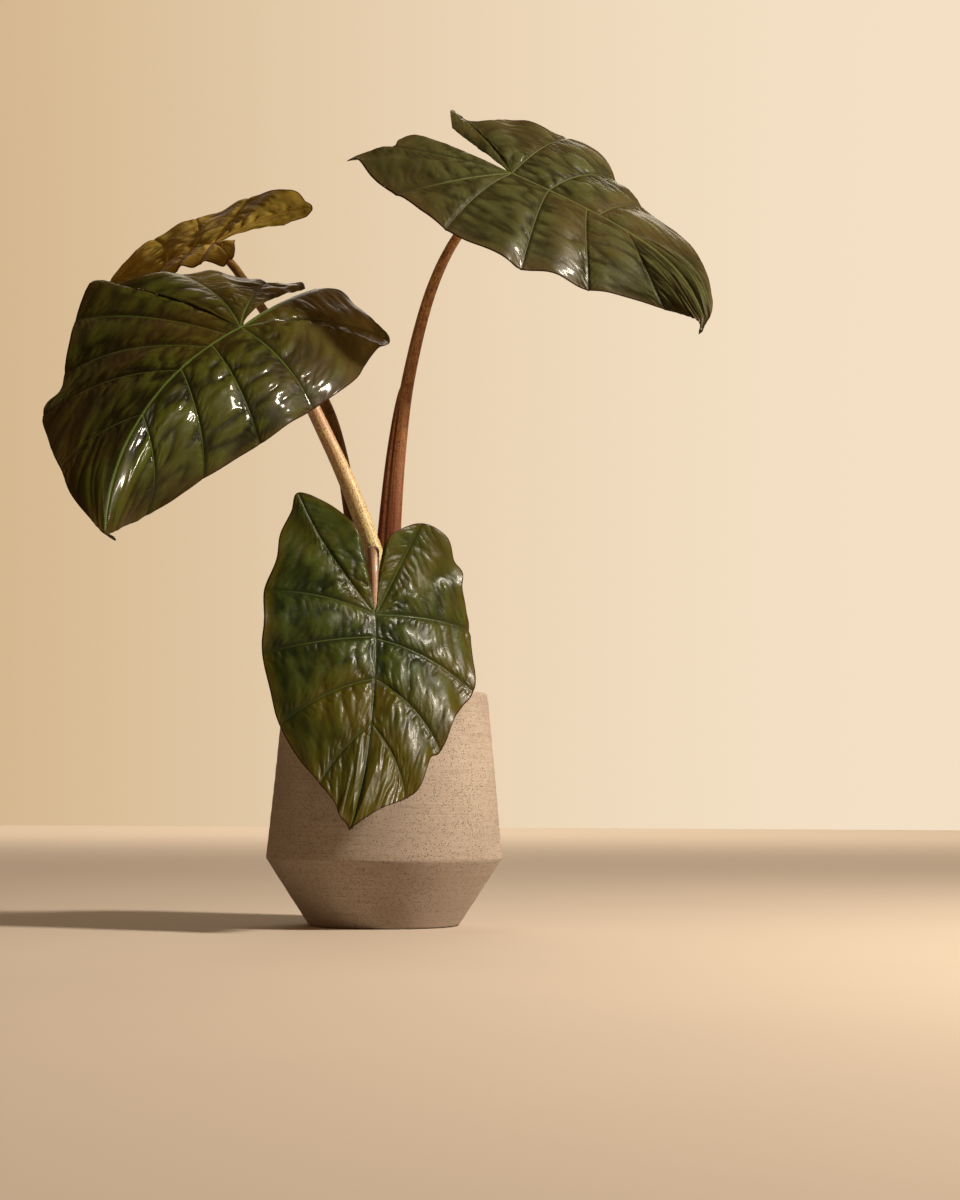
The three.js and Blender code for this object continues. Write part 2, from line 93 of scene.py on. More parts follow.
def point_attribute(piece, name, values):
    made = piece.data.attributes.new(name, "FLOAT", "POINT")
    made.data.foreach_set("value", np.asarray(values, float))


print("One millimetre is", MM, "m here")

# %% [markdown]
# The camera stands where the photographer stood: low, a little over two metres in front of the plant,
# looking slightly up. The lens was found from the tilt of the pot's ellipses and the lean of its
# walls, on a picture of 960 by 1200 pixels. Its pitch is given in degrees and its very small roll in
# radians.

# %% Camera
CAMERA_PLACE = (0.100, -2.351, 0.1372)
PITCH_UP_DEGREES = 5.065
ROLL_RADIANS = 0.0055
CAMERA_LENS = 66.0
SENSOR_LONG_SIDE = 36.0

camera_data = bpy.data.cameras.new("camera")
camera_data.lens = CAMERA_LENS
camera_data.sensor_width = SENSOR_LONG_SIDE
camera = bpy.data.objects.new("camera", camera_data)
bpy.context.scene.collection.objects.link(camera)
tilt = Matrix.Rotation(math.radians(90 + PITCH_UP_DEGREES), 4, "X")
camera.matrix_world = Matrix.Translation(CAMERA_PLACE) @ tilt @ Matrix.Rotation(ROLL_RADIANS, 4, "Z")
bpy.context.scene.camera = camera
print("Camera placed at", CAMERA_PLACE)

# %% [markdown]
# The planter is thrown stoneware: a flat foot, walls that flare to a crisp shoulder, then lean in to a
# thin rim. A lathe shape could be spun from a profile. Here a circle is extruded upwards ring by ring,
# as clay is pulled up on a wheel, which gives evenly spaced rings to carry faint throwing marks. The
# profile is a list of radius and height in millimetres, up the outside and down the inside. Its steps
# of a millimetre or two round off the foot, the shoulder and the rim, so no bevel is needed.

# %% Planter shape
POT_HEIGHT = 245.0
BASE_RADIUS = 81.0
SHOULDER_RADIUS = 125.0
SHOULDER_HEIGHT = 70.0
RIM_RADIUS = 109.0
POT_WALL = 8.0
FLOOR_THICKNESS = 10.0
INNER_FLOOR_RADIUS = BASE_RADIUS - POT_WALL - 4.0
POT_SIDES = 160
WALL_RINGS = 34
LOWER_RINGS = 12
INNER_WALL_RINGS = 8
INNER_LOWER_RINGS = 4


def between(start, end, count):
    steps = [(i + 1) / count for i in range(count)]
    return [(start[0] + s * (end[0] - start[0]), start[1] + s * (end[1] - start[1])) for s in steps]


INNER_RIM = RIM_RADIUS - POT_WALL
INNER_SHOULDER = SHOULDER_RADIUS - POT_WALL
pot_profile = [(BASE_RADIUS - 2.2, 0.15), (BASE_RADIUS - 0.9, 0.9), (BASE_RADIUS, 2.4)]
pot_profile += between((BASE_RADIUS, 2.4), (SHOULDER_RADIUS - 1.3, SHOULDER_HEIGHT - 2.2), LOWER_RINGS)
pot_profile += [(SHOULDER_RADIUS - 0.4, SHOULDER_HEIGHT - 0.8), (SHOULDER_RADIUS, SHOULDER_HEIGHT + 0.5)]
pot_profile += [(SHOULDER_RADIUS - 0.05, SHOULDER_HEIGHT + 2.0)]
pot_profile += between(
    (SHOULDER_RADIUS - 0.3, SHOULDER_HEIGHT + 4.0), (RIM_RADIUS, POT_HEIGHT - 2.6), WALL_RINGS
)
pot_profile += [(RIM_RADIUS - 0.5, POT_HEIGHT - 1.1), (RIM_RADIUS - 1.6, POT_HEIGHT - 0.2)]
pot_profile += [(RIM_RADIUS - 3.2, POT_HEIGHT), (INNER_RIM + 2.8, POT_HEIGHT)]
pot_profile += [(INNER_RIM + 1.2, POT_HEIGHT - 0.3), (INNER_RIM + 0.2, POT_HEIGHT - 1.4)]
pot_profile += between((INNER_RIM, POT_HEIGHT - 3.0), (INNER_SHOULDER, SHOULDER_HEIGHT), INNER_WALL_RINGS)
pot_profile += between(
    (INNER_SHOULDER, SHOULDER_HEIGHT), (BASE_RADIUS - POT_WALL, FLOOR_THICKNESS + 3), INNER_LOWER_RINGS
)
pot_profile += [(INNER_FLOOR_RADIUS, FLOOR_THICKNESS)]


def ring_by_ring(name, profile, sides):
    """Extrudes a circle through (radius, height) rings and closes both ends."""
    start_fresh()
    radius, height = profile[0]
    bpy.ops.mesh.primitive_circle_add(
        vertices=sides, radius=radius * MM, fill_type="NGON", location=(0, 0, height * MM)
    )
    piece = bpy.context.active_object
    piece.name = name
    bpy.ops.object.transform_apply(location=True, rotation=False, scale=False)
    bpy.ops.object.mode_set(mode="EDIT")
    bpy.ops.mesh.select_all(action="SELECT")
    bpy.ops.mesh.flip_normals()
    bpy.ops.mesh.select_mode(type="EDGE")
    bpy.ops.mesh.region_to_loop()
    for next_radius, next_height in profile[1:]:
        rise = (next_height - height) * MM
        bpy.ops.mesh.extrude_edges_move(TRANSFORM_OT_translate={"value": (0, 0, rise)})
        scale = next_radius / radius
        centre = (0, 0, next_height * MM)
        bpy.ops.transform.resize(value=(scale, scale, 1), center_override=centre)
        radius, height = next_radius, next_height
    bpy.ops.mesh.edge_face_add()
    bpy.ops.mesh.select_all(action="SELECT")
    bpy.ops.mesh.normals_make_consistent(inside=False)
    bpy.ops.object.mode_set(mode="OBJECT")
    return piece


planter = ring_by_ring("planter", pot_profile, POT_SIDES)
print("Planter rings:", len(pot_profile))

# %% [markdown]
# A hand-thrown wall is never perfectly even. Its vertices are pushed in and out by a few tenths of a
# millimetre: low rings from the fingers and a slow, wide unevenness. Both fade out towards the foot, and
# the underside stays flat, because the pot stands on it. The wall is drawn in by a hair as well, so
# that its swells stay within the planned size.

# %% Planter throwing marks
THROWING_DEPTH = 0.16
THROWING_SPACING = 7.0
UNEVENNESS = 0.5
FOOT_FADE = 12.0
NARROWEST_WALL = 0.07
UNDERSIDE_HEIGHT = 0.001
DRAWN_IN = 0.0004


def wall_unevenness(place):
    """How far the wall stands out, in millimetres, at a place in metres."""
    x, y, z = place
    height = z / MM
    wander = 2 * noise.noise((x * 9, y * 9, z * 30))
    rings = THROWING_DEPTH * math.sin(2 * math.pi * height / THROWING_SPACING + wander)
    slow = UNEVENNESS * noise.noise((x * 8 + 3, y * 8, z * 10))
    return (rings + slow) * min(1.0, height / FOOT_FADE)


pot_places = vertex_places(planter)
for i, place in enumerate(pot_places):
    radius = math.hypot(place[0], place[1])
    if radius > NARROWEST_WALL and place[2] > UNDERSIDE_HEIGHT:
        pot_places[i, :2] *= 1 + wall_unevenness(place) * MM / radius - DRAWN_IN
move_vertices(planter, pot_places)
print("Planter wall made uneven by up to", UNEVENNESS + THROWING_DEPTH, "mm")

# %% [markdown]
# Materials are built from nodes. A few helpers keep that short: one adds a node and sets its values,
# one makes the usual start of a material, and the others stand for a noise, a change of range, a sum, a
# blend of two colours, a chain of bumps, an attribute and a place. Patterns read the object's own
# coordinates in metres, or attributes that a mesh carries, so they stay on the piece in every view.

# %% Material helpers
def add_node(tree, kind, values=None, **settings):
    node = tree.nodes.new(kind)
    for name, value in settings.items():
        setattr(node, name, value)
    for name, value in (values or {}).items():
        node.inputs[name].default_value = value
    return node


def new_material(name, **surface):
    """A material, its tree and its shader, with values for the shader's own sockets."""
    material = bpy.data.materials.new(name)
    material.use_nodes = True
    tree = material.node_tree
    shader = tree.nodes["Principled BSDF"]
    for socket, value in surface.items():
        shader.inputs[socket.replace("_", " ")].default_value = value
    return material, tree, shader


def noise_node(tree, vector, scale, detail=3.0, roughness=0.55, stretch=None):
    if stretch:
        mapping = add_node(tree, "ShaderNodeMapping", {"Scale": stretch})
        tree.links.new(vector, mapping.inputs["Vector"])
        vector = mapping.outputs["Vector"]
    made = add_node(tree, "ShaderNodeTexNoise", {"Scale": scale, "Detail": detail, "Roughness": roughness})
    tree.links.new(vector, made.inputs["Vector"])
    return made.outputs["Fac"]


def ramp(tree, value, low, high, start=0.0, end=1.0):
    """Turns a value between low and high smoothly into one between start and end."""
    values = {"From Min": low, "From Max": high, "To Min": start, "To Max": end}
    made = add_node(tree, "ShaderNodeMapRange", values, interpolation_type="SMOOTHSTEP")
    tree.links.new(value, made.inputs["Value"])
    return made.outputs["Result"]


def maths(tree, operation, first, second=None):
    made = add_node(tree, "ShaderNodeMath", operation=operation)
    for place, value in enumerate((first, second)):
        if isinstance(value, (int, float)):
            made.inputs[place].default_value = value
        elif value is not None:
            tree.links.new(value, made.inputs[place])
    return made.outputs["Value"]


def blend_colours(tree, share, first, second):
    """From the first colour to the second; each is a tuple of red, green and blue, or another node's."""
    made = add_node(tree, "ShaderNodeMix", data_type="RGBA")
    for socket, value in ((made.inputs[0], share), (made.inputs[6], first), (made.inputs[7], second)):
        if isinstance(value, tuple):
            socket.default_value = (*value, 1)
        else:
            tree.links.new(value, socket)
    return made.outputs[2]


def bump(tree, shader, heights):
    """Chains bumps: (height, strength, distance in metres)."""
    normal = None
    for height, strength, distance in heights:
        made = add_node(tree, "ShaderNodeBump", {"Strength": strength, "Distance": distance})
        tree.links.new(height, made.inputs["Height"])
        if normal is not None:
            tree.links.new(normal, made.inputs["Normal"])
        normal = made.outputs["Normal"]
    tree.links.new(normal, shader.inputs["Normal"])


def attribute(tree, name):
    return add_node(tree, "ShaderNodeAttribute", attribute_name=name).outputs["Fac"]


def own_place(tree):
    return add_node(tree, "ShaderNodeTexCoord").outputs["Object"]


print("Material helpers ready")

# %% [markdown]
# The stoneware is an unglazed, sandy brown-grey clay with fine dark pits and faint sideways brush rows.
# The pits come from a pattern of small cells, which a second noise switches off in places. The rows come
# from a noise squeezed flat along the height, with a fainter one that runs upright across them. All of
# them also move the surface a little.

# %% Stoneware finish
def stoneware_finish():
    material, tree, shader = new_material("stoneware", Roughness=0.86, Specular_IOR_Level=0.28)
    place = own_place(tree)
    cloud = noise_node(tree, place, 9.0, detail=4.0)
    grain = noise_node(tree, place, 900.0, detail=4.0, roughness=0.7)
    rows = noise_node(tree, place, 60.0, detail=5.0, roughness=0.6, stretch=(0.25, 0.25, 11.0))
    combed = noise_node(tree, place, 300.0, detail=3.0, stretch=(1.0, 1.0, 0.22))
    cells = add_node(tree, "ShaderNodeTexVoronoi", {"Scale": 560.0, "Randomness": 1.0})
    tree.links.new(place, cells.inputs["Vector"])
    sparse = ramp(tree, noise_node(tree, place, 210.0, detail=3.0), 0.4, 0.54)
    pits = maths(tree, "MULTIPLY", ramp(tree, cells.outputs["Distance"], 0.16, 0.4, 1.0, 0.0), sparse)
    light = (0.4, 0.325, 0.262)
    dark = (0.315, 0.25, 0.195)
    clay = blend_colours(tree, ramp(tree, cloud, 0.3, 0.7), light, dark)
    clay = blend_colours(tree, ramp(tree, rows, 0.35, 0.75, 0.0, 0.5), clay, (0.25, 0.185, 0.135))
    clay = blend_colours(tree, ramp(tree, combed, 0.45, 0.7, 0.0, 0.14), clay, (0.24, 0.178, 0.13))
    clay = blend_colours(tree, ramp(tree, grain, 0.5, 0.8, 0.0, 0.5), clay, (0.56, 0.46, 0.37))
    clay = blend_colours(tree, maths(tree, "MULTIPLY", pits, 0.65), clay, (0.08, 0.052, 0.036))
    tree.links.new(clay, shader.inputs["Base Color"])
    pit_depth = maths(tree, "MULTIPLY", pits, -1.0)
    bump(tree, shader, [
        (pit_depth, 0.8, 0.0007), (rows, 0.4, 0.0006), (combed, 0.1, 0.0003), (grain, 0.3, 0.0003),
    ])
    return material


planter.data.materials.append(stoneware_finish())
settle(planter, "planter", "pot")

# %% [markdown]
# The stem base, or corm, is a squat barrel with ring scars where older leaves stood. It is extruded ring
# by ring as the planter was, and its skin is roughened by noise.

# %% Stem base shape
SOIL_BELOW_RIM = 24.0
SOIL_LEVEL = POT_HEIGHT - SOIL_BELOW_RIM
CORM_RADIUS = 41.0
CORM_ABOVE_SOIL = 22.0
CORM_BELOW_SOIL = 34.0
CORM_RINGS = 44
CORM_SIDES = 96
SCAR_RINGS = 7
SCAR_DEPTH = 0.9
BARK_ROUGHNESS = 0.0009
CROWN_RADIUS = 0.008


def corm_profile():
    rings = []
    for i in range(1, CORM_RINGS):
        share = i / CORM_RINGS
        angle = (share - 0.5) * math.pi
        height = SOIL_LEVEL - CORM_BELOW_SOIL + share * (CORM_ABOVE_SOIL + CORM_BELOW_SOIL)
        scar = SCAR_DEPTH * abs(math.sin(share * SCAR_RINGS * math.pi)) ** 0.4 - SCAR_DEPTH
        rings.append((CORM_RADIUS * math.cos(angle) ** 0.6 + scar * math.cos(angle), height))
    return rings


stem_base = ring_by_ring("stem_base", corm_profile(), CORM_SIDES)
corm_places = vertex_places(stem_base)
for i, place in enumerate(corm_places):
    rough = noise.noise(Vector(place) * 60) + 0.5 * noise.noise(Vector(place) * 170)
    radius = math.hypot(place[0], place[1])
    if radius > CROWN_RADIUS:
        corm_places[i, :2] *= 1 + BARK_ROUGHNESS * (rough - 0.4) / radius
move_vertices(stem_base, corm_places)
print("Stem base rings:", CORM_RINGS - 1)

# %% [markdown]
# Its skin is dry and brown, with fibres that run up it and darker bands round it. Both are the same
# kind of noise, once drawn out along the height and once squeezed.

# %% Stem base finish
def stem_base_finish():
    material, tree, shader = new_material("stem_base", Roughness=0.8, Specular_IOR_Level=0.3)
    place = own_place(tree)
    fibres = noise_node(tree, place, 90.0, detail=5.0, stretch=(1.0, 1.0, 0.18))
    rings = noise_node(tree, place, 50.0, detail=4.0, stretch=(0.3, 0.3, 6.0))
    skin = blend_colours(tree, ramp(tree, fibres, 0.3, 0.7), (0.14, 0.085, 0.048), (0.3, 0.2, 0.12))
    skin = blend_colours(tree, ramp(tree, rings, 0.45, 0.7, 0.0, 0.7), skin, (0.07, 0.045, 0.03))
    tree.links.new(skin, shader.inputs["Base Color"])
    bump(tree, shader, [(fibres, 0.6, 0.0012), (rings, 0.5, 0.001)])
    return material


stem_base.data.materials.append(stem_base_finish())
settle(stem_base, "stem_base", "corm")

# %% [markdown]
# The potting mix fills the pot to about 24 mm below the rim: dark crumbs of bark and peat with a few
# pale grains. Its body is extruded ring by ring, and the top is raised and sunk by noise in three
# sizes: heaps, lumps and grit. It stops a millimetre or so short of the wall.

# %% Potting mix body
SOIL_LUMPS = 2.2
SOIL_RINGS = 26
SOIL_SIDE_RINGS = 4
SOIL_SIDES = 120
SOIL_GAP = 1.0
SOIL_WIDEST = INNER_SHOULDER - 1.6
SOIL_EDGE_LEVEL = SOIL_LEVEL - 3
SUNK_AT_WALL = 3.0


def inner_wall(height):
    share = (height - SHOULDER_HEIGHT) / (POT_HEIGHT - 3 - SHOULDER_HEIGHT)
    return INNER_SHOULDER + share * (INNER_RIM - INNER_SHOULDER)


soil_edge = inner_wall(SOIL_LEVEL) - SOIL_GAP
soil_profile = [(INNER_FLOOR_RADIUS, FLOOR_THICKNESS + 0.4), (SOIL_WIDEST, SHOULDER_HEIGHT)]
soil_profile += between((SOIL_WIDEST, SHOULDER_HEIGHT), (soil_edge, SOIL_EDGE_LEVEL), SOIL_SIDE_RINGS)
soil_profile += between((soil_edge, SOIL_EDGE_LEVEL), (4.0, SOIL_LEVEL), SOIL_RINGS)
soil = ring_by_ring("potting_mix", soil_profile, SOIL_SIDES)


def soil_height(x, y):
    """Height of the top in millimetres at x and y in metres."""
    radius = math.hypot(x, y) / MM
    slow = noise.noise((x * 28, y * 28, 0.3))
    fine = noise.noise((x * 110, y * 110, 1.7))
    grit = noise.noise((x * 330, y * 330, 4.1))
    sunk = SUNK_AT_WALL * (radius / soil_edge) ** 4
    return SOIL_LEVEL + SOIL_LUMPS * (0.8 * slow + 0.45 * fine + 0.25 * grit) - sunk


soil_places = vertex_places(soil)
for place in soil_places:
    if place[2] > (SOIL_EDGE_LEVEL - 0.5) * MM:
        place[2] = soil_height(place[0], place[1]) * MM
move_vertices(soil, soil_places)
print("Potting mix up to", round(soil_places[:, 2].max() / MM, 1), "mm")

# %% [markdown]
# Several hundred loose crumbs lie on the mix. Three kinds are modelled once each, as squashed and dented
# balls, and every crumb is a turned copy of one of them with a tone of its own. The scatter is seeded,
# so every run lays the same crumbs, and it leaves out the very middle, which the stem base covers.

# %% Crumbs on the potting mix
CRUMB_COUNT = 900
CRUMB_SHAPES = [(1.0, 0.8, 0.6), (1.6, 0.6, 0.35), (0.8, 0.8, 0.8)]
CRUMB_SIZES = (0.9, 2.6)
CRUMB_DENT = 0.45
SCATTER_SEED = 11
SCATTER_AREA = (0.09, 0.95)
MOST_TIPPED = 0.5
BODY_TONE = 0.4


def crumb_mesh(shape, seed):
    """Points and faces of one crumb: a small ball squashed to shape and dented by noise."""
    start_fresh()
    bpy.ops.mesh.primitive_ico_sphere_add(subdivisions=2, radius=1.0, location=(0, 0, 0))
    ball = bpy.context.active_object
    places = vertex_places(ball)
    for i, place in enumerate(places):
        dent = 1 + CRUMB_DENT * noise.noise(Vector(place) * 1.3 + Vector((seed, 0, 0)))
        places[i] = place * dent * np.array(shape)
    faces = [tuple(face.vertices) for face in ball.data.polygons]
    bpy.data.objects.remove(ball)
    return places, faces


crumb_kinds = [crumb_mesh(shape, seed) for seed, shape in enumerate(CRUMB_SHAPES)]
draw = random.Random(SCATTER_SEED)
crumb_points = []
crumb_faces = []
crumb_tones = []
for number in range(CRUMB_COUNT):
    reach = math.sqrt(draw.uniform(*SCATTER_AREA)) * soil_edge * MM
    heading = draw.uniform(0, 2 * math.pi)
    x, y = reach * math.cos(heading), reach * math.sin(heading)
    size = draw.uniform(*CRUMB_SIZES) * MM
    shape_places, shape_faces = crumb_kinds[number % len(crumb_kinds)]
    turn = Matrix.Rotation(draw.uniform(0, 6.28), 3, "Z")
    turn = turn @ Matrix.Rotation(draw.uniform(-MOST_TIPPED, MOST_TIPPED), 3, "X")
    turned = shape_places @ np.array(turn).T * size
    turned += np.array([x, y, soil_height(x, y) * MM + 0.15 * size])
    first = len(crumb_points)
    crumb_points += [tuple(point) for point in turned]
    crumb_faces += [tuple(first + corner for corner in face) for face in shape_faces]
    crumb_tones += [draw.random()] * len(turned)
crumb_data = bpy.data.meshes.new("crumbs")
crumb_data.from_pydata(crumb_points, [], crumb_faces)
crumbs = bpy.data.objects.new("crumbs", crumb_data)
bpy.context.scene.collection.objects.link(crumbs)
point_attribute(crumbs, "tone", crumb_tones)
point_attribute(soil, "tone", np.full(len(soil.data.vertices), BODY_TONE))
activate(soil)
crumbs.select_set(True)
bpy.ops.object.join()
print("Crumbs laid:", CRUMB_COUNT)

# %% [markdown]
# The mix is nearly black-brown and dull. Each crumb carries its own tone, and the few with the highest
# tone are pale grains of perlite.

# %% Potting mix finish
def potting_mix_finish():
    material, tree, shader = new_material("potting_mix", Roughness=0.95, Specular_IOR_Level=0.2)
    place = own_place(tree)
    tone = attribute(tree, "tone")
    grit = noise_node(tree, place, 420.0, detail=5.0, roughness=0.7)
    clods = noise_node(tree, place, 60.0, detail=4.0)
    earth = blend_colours(tree, ramp(tree, grit, 0.35, 0.7), (0.022, 0.013, 0.009), (0.07, 0.042, 0.026))
    earth = blend_colours(tree, ramp(tree, clods, 0.4, 0.7, 0.0, 0.5), earth, (0.045, 0.026, 0.015))
    earth = blend_colours(tree, ramp(tree, tone, 0.6, 0.9, 0.0, 0.7), earth, (0.13, 0.075, 0.04))
    earth = blend_colours(tree, ramp(tree, tone, 0.955, 0.965), earth, (0.62, 0.6, 0.55))
    tree.links.new(earth, shader.inputs["Base Color"])
    bump(tree, shader, [(clods, 0.6, 0.002), (grit, 0.8, 0.0012)])
    return material


soil.data.materials.append(potting_mix_finish())
settle(soil, "potting_mix", "soil")

# %% [markdown]
# The four leaves follow one kind of plan, the same as in the CAD source. A midrib starts where the stalk
# joins, and its length runs from there to the tip. At four stations (half a length behind that point, at
# it, half way to the tip and at the tip) the plan gives in degrees: pitch, how far the midrib points
# below level; yaw, its heading seen from above; roll, the tilt of the blade about the midrib; and for
# each half its fold down from the midrib and the curl it gains half a length out.
# A margin lists points on the flat half, from the inner corner of a lobe round to the tip: how far along
# the midrib and how far out from it, in millimetres. A vein is (margin point, start on the midrib, bow),
# and the notch's bow bends the edge between the two lobes.

# %% Leaf plans
leaves = {
    "front": {
        "length": 233, "at": (-7, -108, 320),
        "pitch": (95, 74, 69, 58), "yaw": (-71, -81, -101, -113), "roll": (3, -12, -19, -23),
        "left": {
            "fold": (-3, 1, 5, 10), "curl": (21, 21, 24, 28), "notch_bow": 0.05,
            "margin": [(-72, 10), (-88, 20), (-100, 52), (-88, 79), (-66, 90), (-55, 102), (-35, 100),
                       (-2, 116), (30, 114), (62, 112), (80, 99), (97, 86), (131, 76), (142, 64),
                       (173, 57), (187, 46), (207, 22), (233, 0)],
            "veins": [(2, 0, 0), (7, 0, 0.04), (9, 26, 0.1), (12, 70, 0.14), (15, 119, 0.12)],
        },
        "right": {
            "fold": (1, -6, -5, -2), "curl": (22, 19, 21, 24), "notch_bow": 0.03,
            "margin": [(-82, 14), (-100, 26), (-117, 50), (-126, 79), (-107, 86), (-84, 97), (-56, 102),
                       (-21, 116), (19, 116), (53, 116), (95, 104), (132, 91), (169, 66), (194, 41),
                       (212, 22), (225, 15), (233, 0)],
            "veins": [(3, 0, -0.07), (7, 0, 0.08), (9, 24, 0.04), (11, 70, 0.14), (13, 119, 0.14)],
        },
    },
    "left": {
        "length": 320, "at": (-151, -92, 621),
        "pitch": (25, 30, 50, 70), "yaw": (-112, -132, -126, -88), "roll": (-10, -15, -17, -25),
        "left": {
            "fold": (25, 22, 38, 66), "curl": (40, 50, 51, 46), "notch_bow": 0.08,
            "margin": [(-140, -2), (-170, 17), (-166, 40), (-162, 63), (-172, 93), (-148, 96),
                       (-127, 96), (-92, 106), (-56, 116), (6, 120), (50, 116), (98, 111), (143, 101),
                       (181, 89), (250, 70), (291, 36), (320, 0)],
            "veins": [(4, 0, 0.08), (9, 0, 0.04), (11, 46, 0.05), (13, 96, 0.08), (14, 170, 0.04)],
        },
        "right": {
            "fold": (-2, -11, 6, 34), "curl": (-3, 0, 14, 27), "notch_bow": -0.22,
            "margin": [(-138, 12), (-150, 22), (-142, 38), (-126, 54), (-136, 84), (-124, 109),
                       (-109, 126), (-80, 142), (-32, 148), (2, 170), (10, 194), (29, 194), (58, 182),
                       (89, 158), (115, 147), (143, 127), (165, 136), (204, 97), (238, 64), (269, 43),
                       (303, 14), (320, 0)],
            "veins": [(3, 0, -0.13), (7, 0, 0.065), (10, 0, 0.07), (12, 20, 0.06), (14, 51, 0.06),
                      (16, 99, 0.11), (18, 170, 0.2)],
        },
    },
    "back": {
        "length": 222, "at": (-208, 115, 762),
        "pitch": (-11, 14, 32, 51), "yaw": (179, 158, 151, 151), "roll": (-44, -27, -39, -50),
        "left": {
            "fold": (5, -2, 0, 4), "curl": (32, 28, 24, 21), "notch_bow": 0,
            "margin": [(-34, 14), (-42, 44), (-42, 63), (-38, 74), (-27, 76), (-9, 73), (5, 76),
                       (24, 69), (45, 64), (84, 74), (121, 66), (157, 54), (202, 30), (222, 0)],
            "veins": [(2, 0, 0), (5, 0, 0.06), (7, 30, 0.12), (9, 65, 0.14), (11, 105, 0.14)],
        },
        "right": {
            "fold": (-28, -16, -23, -29), "curl": (11, 8, 4, 11), "notch_bow": -0.03,
            "margin": [(-85, 12), (-99, 19), (-109, 29), (-112, 38), (-103, 48), (-93, 61), (-77, 66),
                       (-50, 86), (-23, 98), (4, 106), (27, 109), (43, 96), (67, 95), (88, 82),
                       (112, 66), (147, 60), (195, 30), (222, 0)],
            "veins": [(3, 0, -0.05), (8, 0, 0.06), (11, 30, 0.12), (13, 65, 0.14), (15, 105, 0.14)],
        },
    },
    "right": {
        "length": 298, "at": (132, -21, 807),
        "pitch": (30, 26, 35, 63), "yaw": (-29, -8, -22, -65), "roll": (26, 28, 22, 19),
        "left": {
            "fold": (-10, -20, -6, 8), "curl": (24, 20, 23, 26), "notch_bow": 0,
            "margin": [(-97, 34), (-131, 73), (-97, 66), (-72, 73), (-62, 103), (-41, 113), (-8, 122),
                       (12, 144), (50, 144), (77, 126), (93, 101), (118, 86), (152, 78), (211, 43),
                       (246, 27), (284, 10), (298, 0)],
            "veins": [(1, 0, -0.11), (7, 0, 0.02), (9, 45, 0.06), (11, 107, 0.07), (13, 155, 0.14)],
        },
        "right": {
            "fold": (10, 5, 15, 27), "curl": (26, 23, 25, 26), "notch_bow": 0.06,
            "margin": [(-88, 2), (-114, 13), (-122, 30), (-118, 47), (-135, 71), (-140, 92), (-127, 90),
                       (-104, 103), (-71, 122), (-12, 146), (38, 148), (69, 146), (88, 139), (122, 122),
                       (152, 108), (181, 95), (216, 70), (261, 33), (287, 12), (298, 0)],
            "veins": [(3, 0, -0.01), (8, 0, -0.03), (9, 0, 0.04), (12, 45, 0.08), (15, 92, 0.19),
                      (17, 143, 0.17)],
        },
    },
}
print("Leaves planned:", ", ".join(leaves))

# %% [markdown]
# The plan becomes a surface in two steps. First a point is found flat, on lines that leave the midrib
# as the side veins do. Then the flat sheet is bent in space along the midrib's curve. Whole lists of
# points go through at once, which keeps a leaf of forty thousand points quick.

# %% From the plan to a bent sheet
MIDRIB_STEPS = 48
LOBE_REACH = 0.6
NEARLY_FLAT = 1e-4
RIB_HALF_WIDTH = 4.5


def smooth_value(values, place):
    """A smooth curve through evenly spaced numbers, read at places from 0 to the last index."""
    values = np.asarray(values, float)
    last = len(values) - 1
    i = np.clip(np.floor(place).astype(int), 0, last - 1)
    f = np.clip(place - i, 0, 1)
    ends = np.concatenate([[2 * values[0] - values[1]], values, [2 * values[-1] - values[-2]]])
    p0, p1, p2, p3 = ends[i], ends[i + 1], ends[i + 2], ends[i + 3]
    square = (2 * p0 - 5 * p1 + 4 * p2 - p3) * f**2
    return 0.5 * (2 * p1 + (p2 - p0) * f + square + (3 * p1 - p0 - 3 * p2 + p3) * f**3)


def midrib_axes(leaf, u):
    """Directions along the midrib, out to the left and up out of the blade."""
    place = np.clip(u / leaf["length"] * 2 + 1, 0, 3)
    pitch, yaw, roll = (np.radians(smooth_value(leaf[name], place)) for name in ("pitch", "yaw", "roll"))
    along = np.stack([np.cos(pitch) * np.cos(yaw), np.cos(pitch) * np.sin(yaw), -np.sin(pitch)], -1)
    level = np.stack([-np.sin(yaw), np.cos(yaw), 0 * yaw], -1)
    raised = np.cross(along, level)
    cosine, sine = np.cos(roll)[..., None], np.sin(roll)[..., None]
    return along, level * cosine + raised * sine, raised * cosine - level * sine


def midrib_line(leaf):
    """Distances along the midrib and the points there, summed in short steps from the stalk."""
    step = leaf["length"] / MIDRIB_STEPS
    behind = math.ceil(LOBE_REACH * MIDRIB_STEPS)
    ahead = np.cumsum(midrib_axes(leaf, (np.arange(MIDRIB_STEPS) + 0.5) * step)[0] * step, 0)
    back = np.cumsum(midrib_axes(leaf, -(np.arange(behind) + 0.5) * step)[0] * -step, 0)
    points = np.concatenate([back[::-1], np.zeros((1, 3)), ahead]) + np.array(leaf["at"])
    return np.arange(-behind, MIDRIB_STEPS + 1) * step, points


def vein_knots(half):
    """The notch's edge, the veins and the tip, each as margin place, start on the midrib and bow."""
    last = len(half["margin"]) - 1
    notch = (0, 0, half["notch_bow"])
    tip = (last, half["margin"][last][0], half["veins"][-1][2])
    return np.array([notch, *half["veins"], tip], float)


